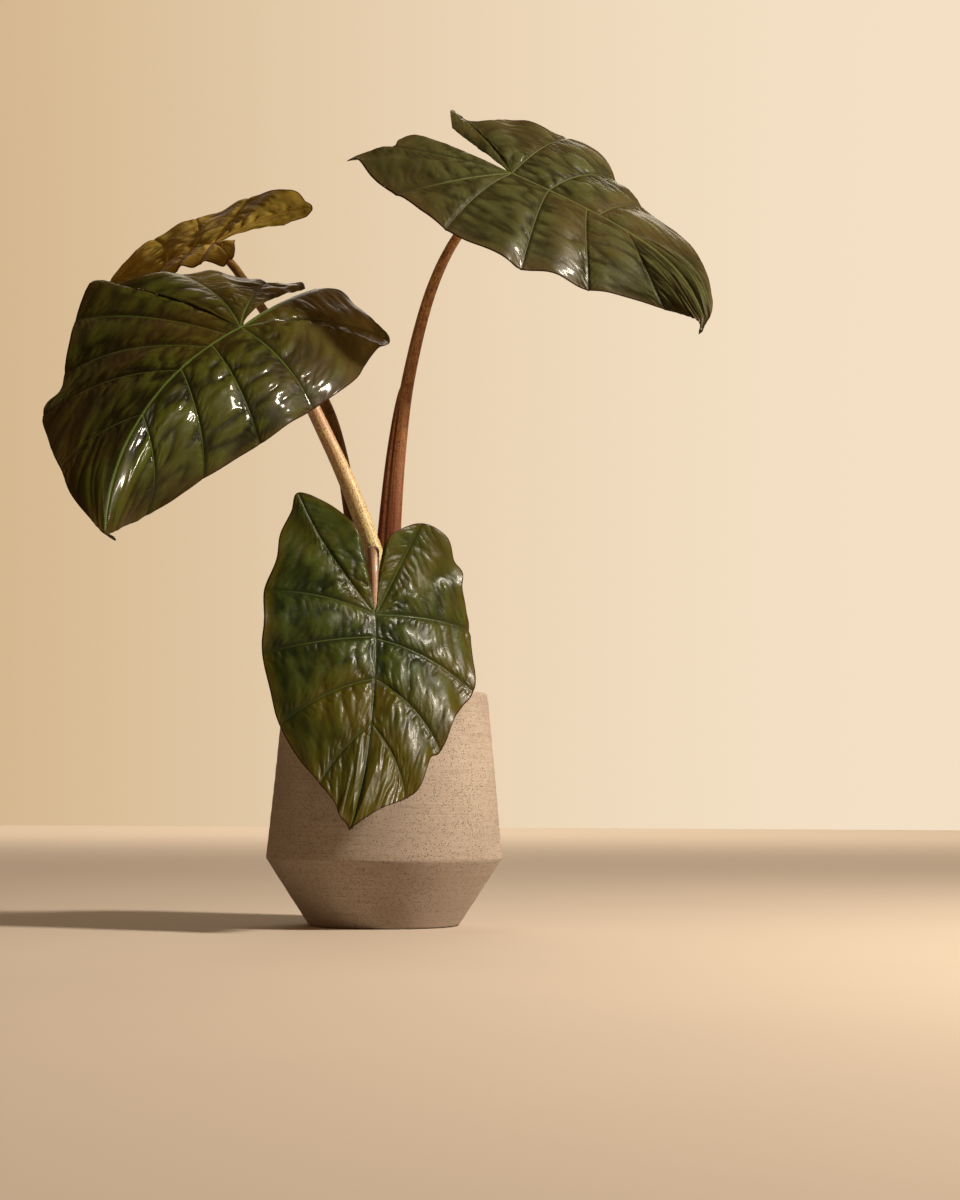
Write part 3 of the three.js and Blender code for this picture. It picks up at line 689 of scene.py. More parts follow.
def flat_place(half, place, t):
    """Millimetres along the midrib and out from it, t from the midrib (0) to the margin (1)."""
    knots = vein_knots(half)
    margin = np.array(half["margin"], float)
    edge_u = smooth_value(margin[:, 0], place)
    edge_v = smooth_value(margin[:, 1], place)
    start = np.interp(place, knots[:, 0], knots[:, 1])
    bow = np.interp(place, knots[:, 0], knots[:, 2])
    run = edge_u - start
    middle_u = start + run / 2 - edge_v * bow
    middle_v = edge_v / 2 + run * bow
    u = (1 - t) ** 2 * start + 2 * t * (1 - t) * middle_u + t**2 * edge_u
    v = 2 * t * (1 - t) * middle_v + t**2 * edge_v
    return u, v


def bent(leaf, half, side, u, v):
    """Where the flat point (u, v) lies in space, and the direction out of the upper face there."""
    place = np.clip(u / leaf["length"] * 2 + 1, 0, 3)
    reference = leaf["length"] / 2
    fold = np.radians(smooth_value(half["fold"], place))
    curl = np.radians(smooth_value(half["curl"], place))
    curl = np.where(np.abs(curl) < NEARLY_FLAT, NEARLY_FLAT, curl)
    slope = fold + curl * v / reference
    across = reference / curl * (np.sin(slope) - np.sin(fold))
    drop = -reference / curl * (np.cos(slope) - np.cos(fold))
    _, out, up = midrib_axes(leaf, u)
    distances, line = midrib_line(leaf)
    spine = np.stack([np.interp(u, distances, line[:, axis]) for axis in range(3)], -1)
    point = spine + out * (side * across)[:, None] - up * drop[:, None]
    normal = up * np.cos(slope)[:, None] + out * (side * np.sin(slope))[:, None]
    near_midrib = np.exp(-((v / RIB_HALF_WIDTH) ** 2))[:, None]
    normal = normal * (1 - near_midrib) + up * near_midrib
    return point, normal / np.linalg.norm(normal, axis=1, keepdims=True)


print("Front midrib ends at", midrib_line(leaves["front"])[1][-1].round(1), "mm")

# %% [markdown]
# The relief is what makes the leaf read as this plant. Between two side veins the blade swells like a
# quilt, the veins themselves lie in narrow grooves, and beside them the blade is crimped in fine ripples
# that run off at a slant. In between it is puckered unevenly, and its margin waves. All of it is real
# shape on the mesh, from half a millimetre in the grooves to about five in the quilts. It all dies away
# where two veins come close, at the tip and at the joint.

# %% Relief of a blade
QUILT_HEIGHT = 5.6
QUILT_STEEPNESS = 0.13
QUILT_SHARPNESS = 0.8
MARGIN_WAVE = 3.2
VEIN_GROOVE = 0.5
VEIN_HALF_WIDTH = 1.4
PUCKER_HEIGHT = 4.2
PUCKER_ALONG = 19.0
PUCKER_ACROSS = 0.6
CRIMP_HEIGHT = 0.7
CRIMP_SPACING = 9.0
RIPPLE_HEIGHT = 0.7
RIPPLE_LENGTH = 5
RIPPLE_REACH = 7
NO_VEIN_NEAR = 40.0
QUILT_SHADE_PAINT = 0.3
PUCKER_SHADE_PAINT = 0.8


def creased(a, b, seed):
    """Noise that is rounded on top and meets in creases below."""
    coarse = noise.noise((a, b, seed))
    fine = noise.noise((2.1 * a, 2.1 * b, seed + 7))
    return abs(coarse) + 0.45 * abs(fine) - 0.32


def blade_relief(half, place, t, seed):
    """Everything that a finish or a height needs to know at each point of half a blade.

    Lengths are in millimetres; q counts veins from the notch, and relief is the height that the upper
    face's painted shade follows: the hollows are painted darker and the raised parts lighter.
    """
    knots = vein_knots(half)
    count = np.clip(np.searchsorted(knots[:, 0], place, side="right") - 1, 0, len(knots) - 2)
    q = count + (place - knots[count, 0]) / (knots[count + 1, 0] - knots[count, 0])
    share = q - count
    near_u, near_v = flat_place(half, knots[count, 0], t)
    far_u, far_v = flat_place(half, knots[count + 1, 0], t)
    gap = np.hypot(far_u - near_u, far_v - near_v)
    u, v = flat_place(half, place, t)
    edge_u, edge_v = flat_place(half, place, np.ones_like(t))
    to_margin = np.hypot(edge_u - u, edge_v - v)
    start_u, start_v = flat_place(half, place, np.zeros_like(t))
    along = np.hypot(u - start_u, v - start_v)
    is_vein = (np.round(q) > 0) & (np.round(q) < len(knots) - 1)
    vein_distance = np.where(is_vein, np.minimum(share, 1 - share) * gap, NO_VEIN_NEAR)
    quilt = np.minimum(QUILT_HEIGHT, QUILT_STEEPNESS * gap) * np.sin(np.pi * share) ** QUILT_SHARPNESS
    quilt *= np.minimum(t * 4, 1) * (1 - 0.55 * t)
    waves = len(half["veins"]) + 1.5
    s = place / (len(half["margin"]) - 1)
    wave = MARGIN_WAVE * np.sin(2 * np.pi * waves * s) * t**3 * np.sin(np.pi * s) ** 0.5
    room = np.clip(gap / 30, 0, 1) * np.clip(v / 9, 0, 1)
    groove = np.exp(-((vein_distance / VEIN_HALF_WIDTH) ** 2)) * np.clip(v / 6, 0, 1) * (1 - 0.6 * t)
    pucker = np.array([creased(a / PUCKER_ALONG, b / PUCKER_ACROSS, seed) for a, b in zip(along, q)])
    pucker *= PUCKER_HEIGHT * room * (1 - 0.45 * t) * np.clip(vein_distance / 5, 0, 1)
    slant = along + 0.6 * vein_distance + 2.5 * pucker
    crimp_fade = np.exp(-vein_distance / 14) * np.clip(vein_distance / 6, 0, 1)
    crimp = CRIMP_HEIGHT * np.abs(np.sin(np.pi * slant / CRIMP_SPACING)) * crimp_fade * room
    ripple = RIPPLE_HEIGHT * np.sin(along / RIPPLE_LENGTH + 30 * s) * np.exp(-to_margin / RIPPLE_REACH)
    ripple *= np.sin(np.pi * s) ** 0.5
    small = pucker + crimp - VEIN_GROOVE * groove
    lift = quilt + wave + small + ripple * room
    # Painted shade height: the upper face's colours follow it, darker in the hollows and lighter on the
    # quilts and puckers.
    painted_shade_height = QUILT_SHADE_PAINT * quilt + small + PUCKER_SHADE_PAINT * pucker
    return {"u": u, "v": v, "q": q, "gap": gap, "vein": vein_distance, "margin": to_margin,
            "along": along, "relief": painted_shade_height, "lift": lift}


print("Relief planned: quilts", QUILT_HEIGHT, "mm, puckers", PUCKER_HEIGHT, "mm")

# %% [markdown]
# Each half of a blade starts as a flat grid. One side of the grid becomes the midrib, the opposite one
# the margin, and its rows become the lines along which side veins run. Rows gather at the veins and
# columns at the midrib, where the shape turns most. The last few millimetres are drawn out to a thin
# tail at the tip.

# %% Half a blade
LOBE_SHARE = 0.42
CROWDING = 0.1
COLUMN_CROWDING = 1.25
TAIL_START = 9.0
TIP_TAILS = {"front": (-3, 0, -4), "left": (11, 0, -3), "back": (-4, 0, -6), "right": (-7, 0, -12)}
BLADE_THICKNESS = 1.0
RIB_DEPTH = 4.2
RIB_SPREAD = 3.6
RIB_TAPER = 0.75
RIB_END_LENGTH = 12.0
SIDE_RIB_DEPTH = 1.3
SIDE_RIB_SPREAD = 1.7
THICKEST = BLADE_THICKNESS + RIB_DEPTH


def gathered(stops, count):
    """Rises through all the stops in count steps, which lie closer together near each stop."""
    stops = np.asarray(stops, float)
    shares = np.diff(stops) / (stops[-1] - stops[0])
    steps = np.maximum(np.round(shares * count).astype(int), 2)
    steps[np.argmax(steps)] += count - steps.sum()
    parts = [stops[:1]]
    for low, high, number in zip(stops[:-1], stops[1:], steps):
        f = np.arange(1, number + 1) / number
        f = f - CROWDING * np.sin(2 * np.pi * f)
        parts.append(low + (high - low) * f)
    return np.concatenate(parts)


def row_places(leaf, half, rows):
    """Margin places of the rows. One row lies on every side vein, and both halves share the midrib's."""
    lobe_rows = round(LOBE_SHARE * rows)
    lobe_veins = [vein[0] for vein in half["veins"] if vein[1] == 0]
    knots = vein_knots(half)
    beyond = knots[:, 0] >= lobe_veins[-1]
    starts = {vein[1] for name in ("left", "right") for vein in leaf[name]["veins"]}
    on_midrib = gathered(sorted(starts | {leaf["length"]}), rows - lobe_rows)
    tip_places = np.interp(on_midrib, knots[beyond, 1], knots[beyond, 0])
    return np.concatenate([gathered([0, *lobe_veins], lobe_rows)[:-1], tip_places])


def thickness_shares(leaf, relief, t):
    """Share of the greatest thickness at each point: a rib below the midrib and one below each vein."""
    taper = 1 - RIB_TAPER * np.maximum(relief["u"] / leaf["length"], 0)
    behind_joint = np.exp(np.minimum(relief["u"], 0) / RIB_END_LENGTH)
    rib = RIB_DEPTH * taper * np.exp(-((relief["v"] / RIB_SPREAD) ** 2)) * behind_joint
    beside_vein = np.exp(-((relief["vein"] / SIDE_RIB_SPREAD) ** 2))
    side_rib = SIDE_RIB_DEPTH * (1 - 0.8 * t) * beside_vein * np.clip(relief["v"] / 4, 0, 1)
    return (BLADE_THICKNESS + np.maximum(rib, side_rib)) / THICKEST


def half_blade(which, side, rows, columns):
    """One half as a bent grid with what its finish needs stored on the points."""
    leaf = leaves[which]
    half = leaf["left"] if side > 0 else leaf["right"]
    start_fresh()
    bpy.ops.mesh.primitive_grid_add(x_subdivisions=rows, y_subdivisions=columns, size=1)
    sheet = bpy.context.active_object
    grid = vertex_places(sheet)
    row = np.round((grid[:, 0] + 0.5) * rows).astype(int)
    t = (grid[:, 1] + 0.5) ** COLUMN_CROWDING
    place = row_places(leaf, half, rows)[row]
    relief = blade_relief(half, place, t, leaf["length"] * 0.37 + side)
    point, normal = bent(leaf, half, side, relief["u"], relief["v"])
    top = point + normal * (relief["lift"] + BLADE_THICKNESS / 2)[:, None]
    at_tip = np.clip(1 - (leaf["length"] - relief["u"]) / TAIL_START, 0, 1) ** 3
    top += at_tip[:, None] * np.array(TIP_TAILS[which])
    move_vertices(sheet, top * MM)
    point_attribute(sheet, "thickness", thickness_shares(leaf, relief, t))
    for key in ("gap", "margin", "along", "relief"):
        point_attribute(sheet, f"{key}_mm", relief[key])
    point_attribute(sheet, "lengthwise_mm", relief["u"])
    point_attribute(sheet, "midrib_mm", relief["v"])
    point_attribute(sheet, "vein_count", relief["q"])
    point_attribute(sheet, "vein_total", np.full(len(t), len(vein_knots(half)) - 1.0))
    if side < 0:
        bpy.ops.object.mode_set(mode="EDIT")
        bpy.ops.mesh.select_all(action="SELECT")
        bpy.ops.mesh.flip_normals()
        bpy.ops.object.mode_set(mode="OBJECT")
    return sheet


print("Half blades are up to", THICKEST, "mm thick")

# %% [markdown]
# The halves are joined and merged along the midrib. Solidify then gives the blade its millimetre of
# thickness, more under the midrib and the side veins, where a vertex group lets the ribs stand out
# below. It also gives the lower face the second finish.

# %% Whole blade
MERGE_DISTANCE = 0.00003


def whole_blade(which, rows, columns, upper_face, underside):
    left = half_blade(which, 1, rows, columns)
    right = half_blade(which, -1, rows, columns)
    activate(left)
    right.select_set(True)
    bpy.ops.object.join()
    bpy.ops.object.mode_set(mode="EDIT")
    bpy.ops.mesh.select_all(action="SELECT")
    bpy.ops.mesh.remove_doubles(threshold=MERGE_DISTANCE)
    bpy.ops.mesh.dissolve_degenerate(threshold=MERGE_DISTANCE)
    bpy.ops.object.mode_set(mode="OBJECT")
    blade = bpy.context.active_object
    group = blade.vertex_groups.new(name="thickness")
    shares = np.empty(len(blade.data.vertices))
    blade.data.attributes["thickness"].data.foreach_get("value", shares)
    for number, share in enumerate(shares):
        group.add([number], float(share), "REPLACE")
    thicken = blade.modifiers.new("thickness", "SOLIDIFY")
    thicken.thickness = THICKEST * MM
    thicken.offset = -1
    thicken.vertex_group = "thickness"
    thicken.thickness_vertex_group = 0
    thicken.material_offset = 1
    thicken.material_offset_rim = 0
    blade.data.materials.append(upper_face)
    blade.data.materials.append(underside)
    bpy.ops.object.modifier_apply(modifier="thickness")
    print(f"{which}_leaf has", len(blade.data.vertices), "points")
    return blade


print(f"Half blades merge where they are within {MERGE_DISTANCE / MM:.2f} mm")

# %% [markdown]
# A finish for a leaf has to know where it is on the blade. The mesh carries that as attributes: how many
# veins lie behind a point, the gap between its two veins, and its distances along, to the midrib and to
# the margin. The finishes work out the distance to the nearest vein from them, which stays sharp
# between two points of the mesh.

# %% Places on a blade
def vein_distance(tree):
    """Millimetres to the nearest side vein, from the vein count and the gap between veins."""
    count = attribute(tree, "vein_count")
    nearest = maths(tree, "ROUND", count)
    off = maths(tree, "ABSOLUTE", maths(tree, "SUBTRACT", count, nearest))
    distance = maths(tree, "MULTIPLY", off, attribute(tree, "gap_mm"))
    outside = maths(tree, "LESS_THAN", nearest, 0.5)
    total = maths(tree, "SUBTRACT", attribute(tree, "vein_total"), 0.5)
    beyond = maths(tree, "GREATER_THAN", nearest, total)
    hidden = maths(tree, "MULTIPLY", maths(tree, "ADD", outside, beyond), NO_VEIN_NEAR)
    return maths(tree, "ADD", distance, hidden)


def along_and_between(tree):
    """A flat place on the blade, in centimetres, for patterns that follow the veins."""
    combine = add_node(tree, "ShaderNodeCombineXYZ")
    tree.links.new(maths(tree, "MULTIPLY", attribute(tree, "along_mm"), 0.1), combine.inputs["X"])
    tree.links.new(maths(tree, "MULTIPLY", attribute(tree, "vein_count"), 3.0), combine.inputs["Y"])
    return combine.outputs["Vector"]


print("Finishes can find their place on a blade")

# %% [markdown]
# Relief finer than the mesh is left to bump: slanting rungs like a ladder's beside the veins, small
# domes between them, the bottom of the vein grooves and the edge of the midrib.

# %% Fine relief of the upper face
RUNG_SPACING = 9.0
RUNG_SLANT = 0.7


def small_relief(tree, distance, midrib):
    """Rungs, domes, groove and midrib edge, each as a height for a bump of its own."""
    drift = ramp(tree, noise_node(tree, own_place(tree), 45.0, detail=3.0), 0.2, 0.8, 0.0, 9.0)
    slant = maths(tree, "ADD", attribute(tree, "along_mm"), maths(tree, "MULTIPLY", distance, RUNG_SLANT))
    slant = maths(tree, "ADD", slant, drift)
    turns = maths(tree, "MULTIPLY", slant, math.pi / RUNG_SPACING)
    rungs = maths(tree, "ABSOLUTE", maths(tree, "SINE", turns))
    rungs = maths(tree, "MULTIPLY", rungs, ramp(tree, distance, 1.0, 22.0, 1.0, 0.12))
    rungs = maths(tree, "MULTIPLY", rungs, ramp(tree, distance, 1.0, 5.0))
    room = ramp(tree, attribute(tree, "gap_mm"), 10.0, 34.0)
    rungs = maths(tree, "MULTIPLY", rungs, room)
    cells = add_node(tree, "ShaderNodeTexVoronoi", {"Scale": 0.85, "Randomness": 0.9}, feature="SMOOTH_F1")
    cells.inputs["Smoothness"].default_value = 0.25
    tree.links.new(along_and_between(tree), cells.inputs["Vector"])
    domes = maths(tree, "MULTIPLY", cells.outputs["Distance"], ramp(tree, distance, 0.5, 9.0, 0.0, -1.0))
    domes = maths(tree, "MULTIPLY", domes, room)
    groove = ramp(tree, distance, 0.0, 1.5)
    middle = ramp(tree, midrib, 0.4, 2.6)
    return rungs, domes, groove, middle


print("Rungs every", RUNG_SPACING, "mm")

# %% [markdown]
# The flesh is painted darkest in the hollows and lighter where the blade is raised, which is painted
# shade and painted light mixed with blotches of the leaf's own tone. Bronze patches drift over it,
# olive streaks follow the veins on the raised parts, and the lobes behind the joint have a colour of
# their own. On one leaf a bronze flush is strongest low on its right side. Nothing here depends on
# where the camera stands.

# %% Flesh of the upper face
def flesh_colour(tree, look, place, patches, blotches):
    gap = attribute(tree, "gap_mm")
    streaks = noise_node(
        tree, along_and_between(tree), 0.7, detail=4.0, roughness=0.6, stretch=(0.3, 1.3, 1.0)
    )
    # Painted shade and light: the colour runs from the dark tone in the hollows to the mid colour on the
    # raised parts, with blotches of the leaf's own tone mixed in; where veins crowd, the hollows are painted
    # less dark.
    raised = maths(tree, "ADD", attribute(tree, "relief_mm"), maths(tree, "MULTIPLY", blotches, 1.6))
    raised = maths(tree, "ADD", raised, ramp(tree, gap, 6.0, 30.0, 1.3, 0.0))
    colour = blend_colours(tree, ramp(tree, raised, 0.2, 3.2), look["dark_tone_and_shade"], look["mid"])
    colour = blend_colours(tree, ramp(tree, patches, 0.42, 0.68, 0.0, 0.7), colour, look["bronze"])
    # The olive streaks are laid only on the raised parts, so they are partly painted light on the tops.
    lit = ramp(tree, streaks, look["streaks_from"], look["streaks_from"] + 0.3)
    lit = maths(tree, "MULTIPLY", lit, ramp(tree, raised, 0.0, 2.4))
    lit = maths(tree, "MULTIPLY", lit, ramp(tree, gap, 8.0, 34.0, 0.0, 0.6))
    colour = blend_colours(tree, lit, colour, look["olive"])
    if "flush" in look:
        low, high, strength = look["flush"]
        apart = add_node(tree, "ShaderNodeSeparateXYZ")
        tree.links.new(place, apart.inputs["Vector"])
        sideways = maths(tree, "MULTIPLY", apart.outputs["X"], 0.6)
        height = maths(tree, "SUBTRACT", apart.outputs["Z"], sideways)
        height = maths(tree, "ADD", height, maths(tree, "MULTIPLY", patches, 0.12))
        colour = blend_colours(tree, ramp(tree, height, low, high, strength, 0.0), colour, look["bronze"])
    drifting = maths(tree, "MULTIPLY", patches, 60.0)
    lengthwise = maths(tree, "ADD", attribute(tree, "lengthwise_mm"), drifting)
    on_lobe = ramp(tree, lengthwise, -110.0, 0.0, 0.95, 0.0)
    on_lobe = maths(tree, "MULTIPLY", on_lobe, ramp(tree, streaks, 0.3, 0.6, 0.45, 1.0))
    return blend_colours(tree, on_lobe, colour, look["lobe"])


print("Flesh ready")

# %% [markdown]
# The upper face is drawn over the flesh: light thin veins in their grooves, with painted shade beside
# them, the midrib, and a thin dark red margin. A low gloss with a thin clear coat over it gives what the
# real leaf shows, a dull body with a few small crisp highlights. A faint bronze sheen lifts it at
# glancing angles.

# %% Upper face finish
MARGIN_RED = (0.03, 0.01, 0.004)


def upper_face_finish(name, look):
    material, tree, shader = new_material(
        name, Specular_IOR_Level=look["specular"], Coat_Weight=look["coat"], Coat_Roughness=0.1,
        Sheen_Weight=0.04, Sheen_Roughness=0.4, Sheen_Tint=(0.8, 0.5, 0.28, 1),
    )
    place = own_place(tree)
    distance = vein_distance(tree)
    midrib = attribute(tree, "midrib_mm")
    margin = attribute(tree, "margin_mm")
    patches = noise_node(tree, place, 9.0, detail=4.0, roughness=0.6)
    blotches = noise_node(tree, place, 55.0, detail=5.0, roughness=0.65)
    skin = noise_node(tree, place, 420.0, detail=3.0)
    colour = flesh_colour(tree, look, place, patches, blotches)
    colour = blend_colours(tree, ramp(tree, margin, 1.0, 14.0, 0.5, 0.0), colour, look["bronze"])
    # Painted shade in the vein grooves: within a few millimetres of each vein the colour darkens towards the
    # dark tone.
    colour = blend_colours(tree, ramp(tree, distance, 0.8, 4.0, 0.25, 0.0), colour, look["dark_tone_and_shade"])
    width = look["vein_width"]
    line = ramp(tree, distance, 0.4 * width, 0.95 * width, 0.85, 0.0)
    line = maths(tree, "MULTIPLY", line, ramp(tree, margin, 2.0, 70.0, 0.1, 1.0))
    colour = blend_colours(tree, line, colour, look["vein"])
    colour = blend_colours(tree, ramp(tree, midrib, 1.1, 2.0, 0.6, 0.0), colour, look["vein"])
    colour = blend_colours(tree, ramp(tree, midrib, 0.6, 1.1, 0.9, 0.0), colour, look["midrib"])
    colour = blend_colours(tree, ramp(tree, margin, 0.8, 1.8, 0.9, 0.0), colour, MARGIN_RED)
    tree.links.new(colour, shader.inputs["Base Color"])
    rough = ramp(tree, blotches, 0.3, 0.75, look["roughness"], look["roughness"] + 0.2)
    tree.links.new(rough, shader.inputs["Roughness"])
    rungs, domes, groove, middle = small_relief(tree, distance, midrib)
    bump(tree, shader, [
        (rungs, 0.5, 0.0009), (domes, 0.4, 0.002), (groove, 0.35, 0.0006), (middle, 0.7, 0.0009),
        (blotches, 0.3, 0.002), (skin, 0.2, 0.0002),
    ])
    return material


print("Upper face finish ready")

# %% [markdown]
# The underside is paler and dull, greyish green flushed with red-brown, and its veins stand out. It is
# a second material slot, which Solidify gives to the lower face.

# %% Underside finish
SHADED_GREEN = (0.05, 0.06, 0.03)


def underside_finish(name, flesh, flush, vein):
    material, tree, shader = new_material(name, Roughness=0.55, Specular_IOR_Level=0.35)
    place = own_place(tree)
    distance = vein_distance(tree)
    patches = noise_node(tree, place, 12.0, detail=4.0)
    blotches = noise_node(tree, place, 70.0, detail=4.0)
    colour = blend_colours(tree, ramp(tree, patches, 0.4, 0.62), flesh, flush)
    colour = blend_colours(tree, ramp(tree, blotches, 0.4, 0.75, 0.0, 0.35), colour, SHADED_GREEN)
    slant = maths(tree, "ADD", attribute(tree, "along_mm"), maths(tree, "MULTIPLY", distance, 0.55))
    small_veins = maths(tree, "SINE", maths(tree, "MULTIPLY", slant, 1.3))
    colour = blend_colours(tree, ramp(tree, small_veins, 0.75, 1.0, 0.0, 0.3), colour, vein)
    colour = blend_colours(tree, ramp(tree, distance, 0.8, 2.2, 0.85, 0.0), colour, vein)
    colour = blend_colours(tree, ramp(tree, attribute(tree, "midrib_mm"), 3.0, 6.0, 0.9, 0.0), colour, vein)
    tree.links.new(colour, shader.inputs["Base Color"])
    bump(tree, shader, [(small_veins, 0.3, 0.0004), (blotches, 0.3, 0.001)])
    return material


print("Underside finish ready")

# %% [markdown]
# Four blades, four looks. The left leaf is the darkest, with tan lobes. The right one is a little
# greyer, with less clear coat. The young one in front is greener, with a flush of bronze low on its
# right side and a dark midrib, and the one at the back is bronze all over, matt, with broad pale veins,
# which are partly painted light. In every look the darkest colour is both the blade's own dark tone and
# the painted shade of its hollows and vein grooves. Colours are red, green and blue. The flush is (height
# where it is full, height where it ends, strength), in metres, and a place further to the right counts
# as lower.

# %% Looks of the four leaves
leaf_looks = {
    "left": {
        "dark_tone_and_shade": (0.01, 0.0095, 0.001), "mid": (0.042, 0.042, 0.0045), "olive": (0.06, 0.085, 0.007),
        "bronze": (0.045, 0.026, 0.0035), "lobe": (0.27, 0.2, 0.06), "vein": (0.07, 0.105, 0.018),
        "midrib": (0.085, 0.125, 0.025), "streaks_from": 0.47, "vein_width": 1.0,
        "roughness": 0.4, "specular": 0.08, "coat": 0.16,
    },
    "right": {
        "dark_tone_and_shade": (0.017, 0.0155, 0.0035), "mid": (0.05, 0.05, 0.014), "olive": (0.058, 0.066, 0.018),
        "bronze": (0.066, 0.044, 0.014), "lobe": (0.055, 0.05, 0.014), "vein": (0.09, 0.1, 0.03),
        "midrib": (0.09, 0.095, 0.028), "streaks_from": 0.47, "vein_width": 1.0,
        "roughness": 0.34, "specular": 0.16, "coat": 0.08,
    },
    "front": {
        "dark_tone_and_shade": (0.008, 0.013, 0.002), "mid": (0.033, 0.045, 0.006), "olive": (0.07, 0.085, 0.009),
        "bronze": (0.075, 0.055, 0.003), "lobe": (0.03, 0.048, 0.008), "vein": (0.055, 0.075, 0.018),
        "midrib": (0.01, 0.012, 0.004), "streaks_from": 0.5, "vein_width": 1.0,
        "roughness": 0.3, "specular": 0.14, "coat": 0.03, "flush": (0.12, 0.32, 0.75),
    },
    "back": {
        "dark_tone_and_shade": (0.2, 0.135, 0.02), "mid": (0.36, 0.255, 0.05), "olive": (0.42, 0.315, 0.06),
        # The broad pale veins of this leaf are partly painted light, on the lit sides of the swells beside
        # them.
        "bronze": (0.3, 0.18, 0.025), "lobe": (0.1, 0.07, 0.005), "vein": (0.5, 0.32, 0.08),
        "midrib": (0.45, 0.3, 0.07), "streaks_from": 0.44, "vein_width": 2.2,
        "roughness": 0.55, "specular": 0.06, "coat": 0.0,
    },
}
underside_looks = {
    "leaf": {"flesh": (0.1, 0.115, 0.055), "flush": (0.15, 0.085, 0.05), "vein": (0.2, 0.17, 0.09)},
    "young_leaf": {"flesh": (0.12, 0.15, 0.065), "flush": (0.15, 0.11, 0.06), "vein": (0.22, 0.2, 0.11)},
    "bronze_leaf": {"flesh": (0.12, 0.1, 0.05), "flush": (0.17, 0.08, 0.045), "vein": (0.26, 0.15, 0.075)},
}
undersides = {slot: underside_finish(f"{slot}_underside", **look) for slot, look in underside_looks.items()}
print("Looks planned:", ", ".join(leaf_looks))

# %% [markdown]
# Now the blades are made. Each is listed with the slot that picks its underside, and with as many rows
# and columns as its size needs; its upper face has a finish of its own. The two grown leaves share a
# slot, and so an underside.

# %% Blades with their finishes
blade_builds = {
    "front": ("young_leaf", 190, 84),
    "left": ("leaf", 220, 92),
    "back": ("bronze_leaf", 180, 80),
    "right": ("leaf", 220, 92),
}
for which, (slot, rows, columns) in blade_builds.items():
    upper_face = upper_face_finish(f"{which}_leaf_face", leaf_looks[which])
    blade = whole_blade(which, rows, columns, upper_face, undersides[slot])
    settle(blade, f"{which}_leaf", f"{which}_blade")

# %% [markdown]
# A leaf stalk is round and fleshy, thick at its foot, with a sheath: two thin lengthwise flaps along its
# lower part that once wrapped the next leaf. The plan gives the points that its line passes through, the
# radius at each and at the joint, and the sheath: how far up it reaches as a share of the length, how
# far it stands out, and the direction it faces, in degrees from the right. The line is a smooth curve
# cut into even steps.

# %% Stalk plans
stalks = {
    "front": {
        "points": [(-15, -16, 215), (-18, -28, 290), (-17, -45, 350), (-13, -66, 384), (-11, -83, 388),
                   (-10, -94, 371), (-9, -100, 346)],
        "radii": (9, 8.4, 7.8, 7.2, 6.2, 5.2, 4.3, 3.6), "sheath": (0.55, 3, 200),
    },
    "left": {
        "points": [(16, -15, 215), (8, -22, 300), (-1, -27, 353), (-17, -32, 404), (-36, -38, 454),
                   (-60, -48, 507), (-101, -68, 583), (-132, -82, 611)],
        "radii": (11, 10.6, 10.2, 9.8, 9, 8, 6.8, 5.6, 4.8), "sheath": (0.4, 4, 100),
    },
    "back": {
        "points": [(-20, 14, 215), (-28, 20, 300), (-33, 30, 380), (-41, 39, 436), (-54, 50, 509),
                   (-73, 62, 568), (-111, 76, 627), (-148, 90, 683), (-183, 104, 735)],
        "radii": (9.5, 8.6, 8, 7.6, 7.2, 6.6, 6, 5.4, 5, 4.4), "sheath": (0.5, 3, 80),
    },
    "right": {
        "points": [(6, 12, 215), (2, 10, 330), (5, 7, 416), (12, 2, 515), (22, -2, 589), (46, -8, 683),
                   (71, -12, 736), (101, -15, 773), (121, -18, 796)],
        "radii": (12, 10.6, 9, 7.8, 6.8, 5.8, 5.2, 4.9, 4.7, 4.2), "sheath": (0.58, 12, 195),
    },
}
CURVE_STEPS = 40


def smooth_line(points, steps):
    """Evenly spaced points on a centripetal curve through the given ones, with their places on it."""
    points = np.asarray(points, float)
    ends = np.concatenate([[2 * points[0] - points[1]], points, [2 * points[-1] - points[-2]]])
    fine, places = [], []
    for i in range(len(points) - 1):
        p = ends[i:i + 4]
        knots = np.concatenate([[0], np.cumsum(np.sqrt(np.linalg.norm(np.diff(p, axis=0), axis=1)))])
        for f in np.linspace(0, 1, CURVE_STEPS, endpoint=i == len(points) - 2):
            x = knots[1] + f * (knots[2] - knots[1])
            first = [p[j] + (p[j + 1] - p[j]) * (x - knots[j]) / (knots[j + 1] - knots[j]) for j in range(3)]
            second = [
                first[j] + (first[j + 1] - first[j]) * (x - knots[j]) / (knots[j + 2] - knots[j])
                for j in range(2)
            ]
            fine.append(second[0] + (second[1] - second[0]) * (x - knots[1]) / (knots[2] - knots[1]))
            places.append(i + f)
    fine = np.array(fine)
    run = np.concatenate([[0], np.cumsum(np.linalg.norm(np.diff(fine, axis=0), axis=1))])
    even = np.linspace(0, run[-1], steps + 1)
    line = np.stack([np.interp(even, run, fine[:, axis]) for axis in range(3)], -1)
    return line, np.interp(even, run, places), run[-1]


print("Stalks planned:", ", ".join(stalks))

# %% [markdown]
# A grid is rolled up along the stalk's line into a tube, because that keeps one coordinate running up
# the stalk for its streaks and speckles, and one running round it. The flaps are two narrow waves on
# the radius, and the top is domed where it meets the blade. The seam is merged and the ends are closed.

# %% Stalk modelling
STALK_STEPS = 150
STALK_SIDES = 56
JOINT_DEPTH = 4.2
DOME_STEPS = 5
DOME_END = 0.03
SHEATH_START = 0.12
FLAP_ANGLE = 0.3
FLAP_SPREAD = 0.16
SHOULDER_SHARE = 0.45
RIDGE_COUNT = 18
RIDGE_HEIGHT = 0.1


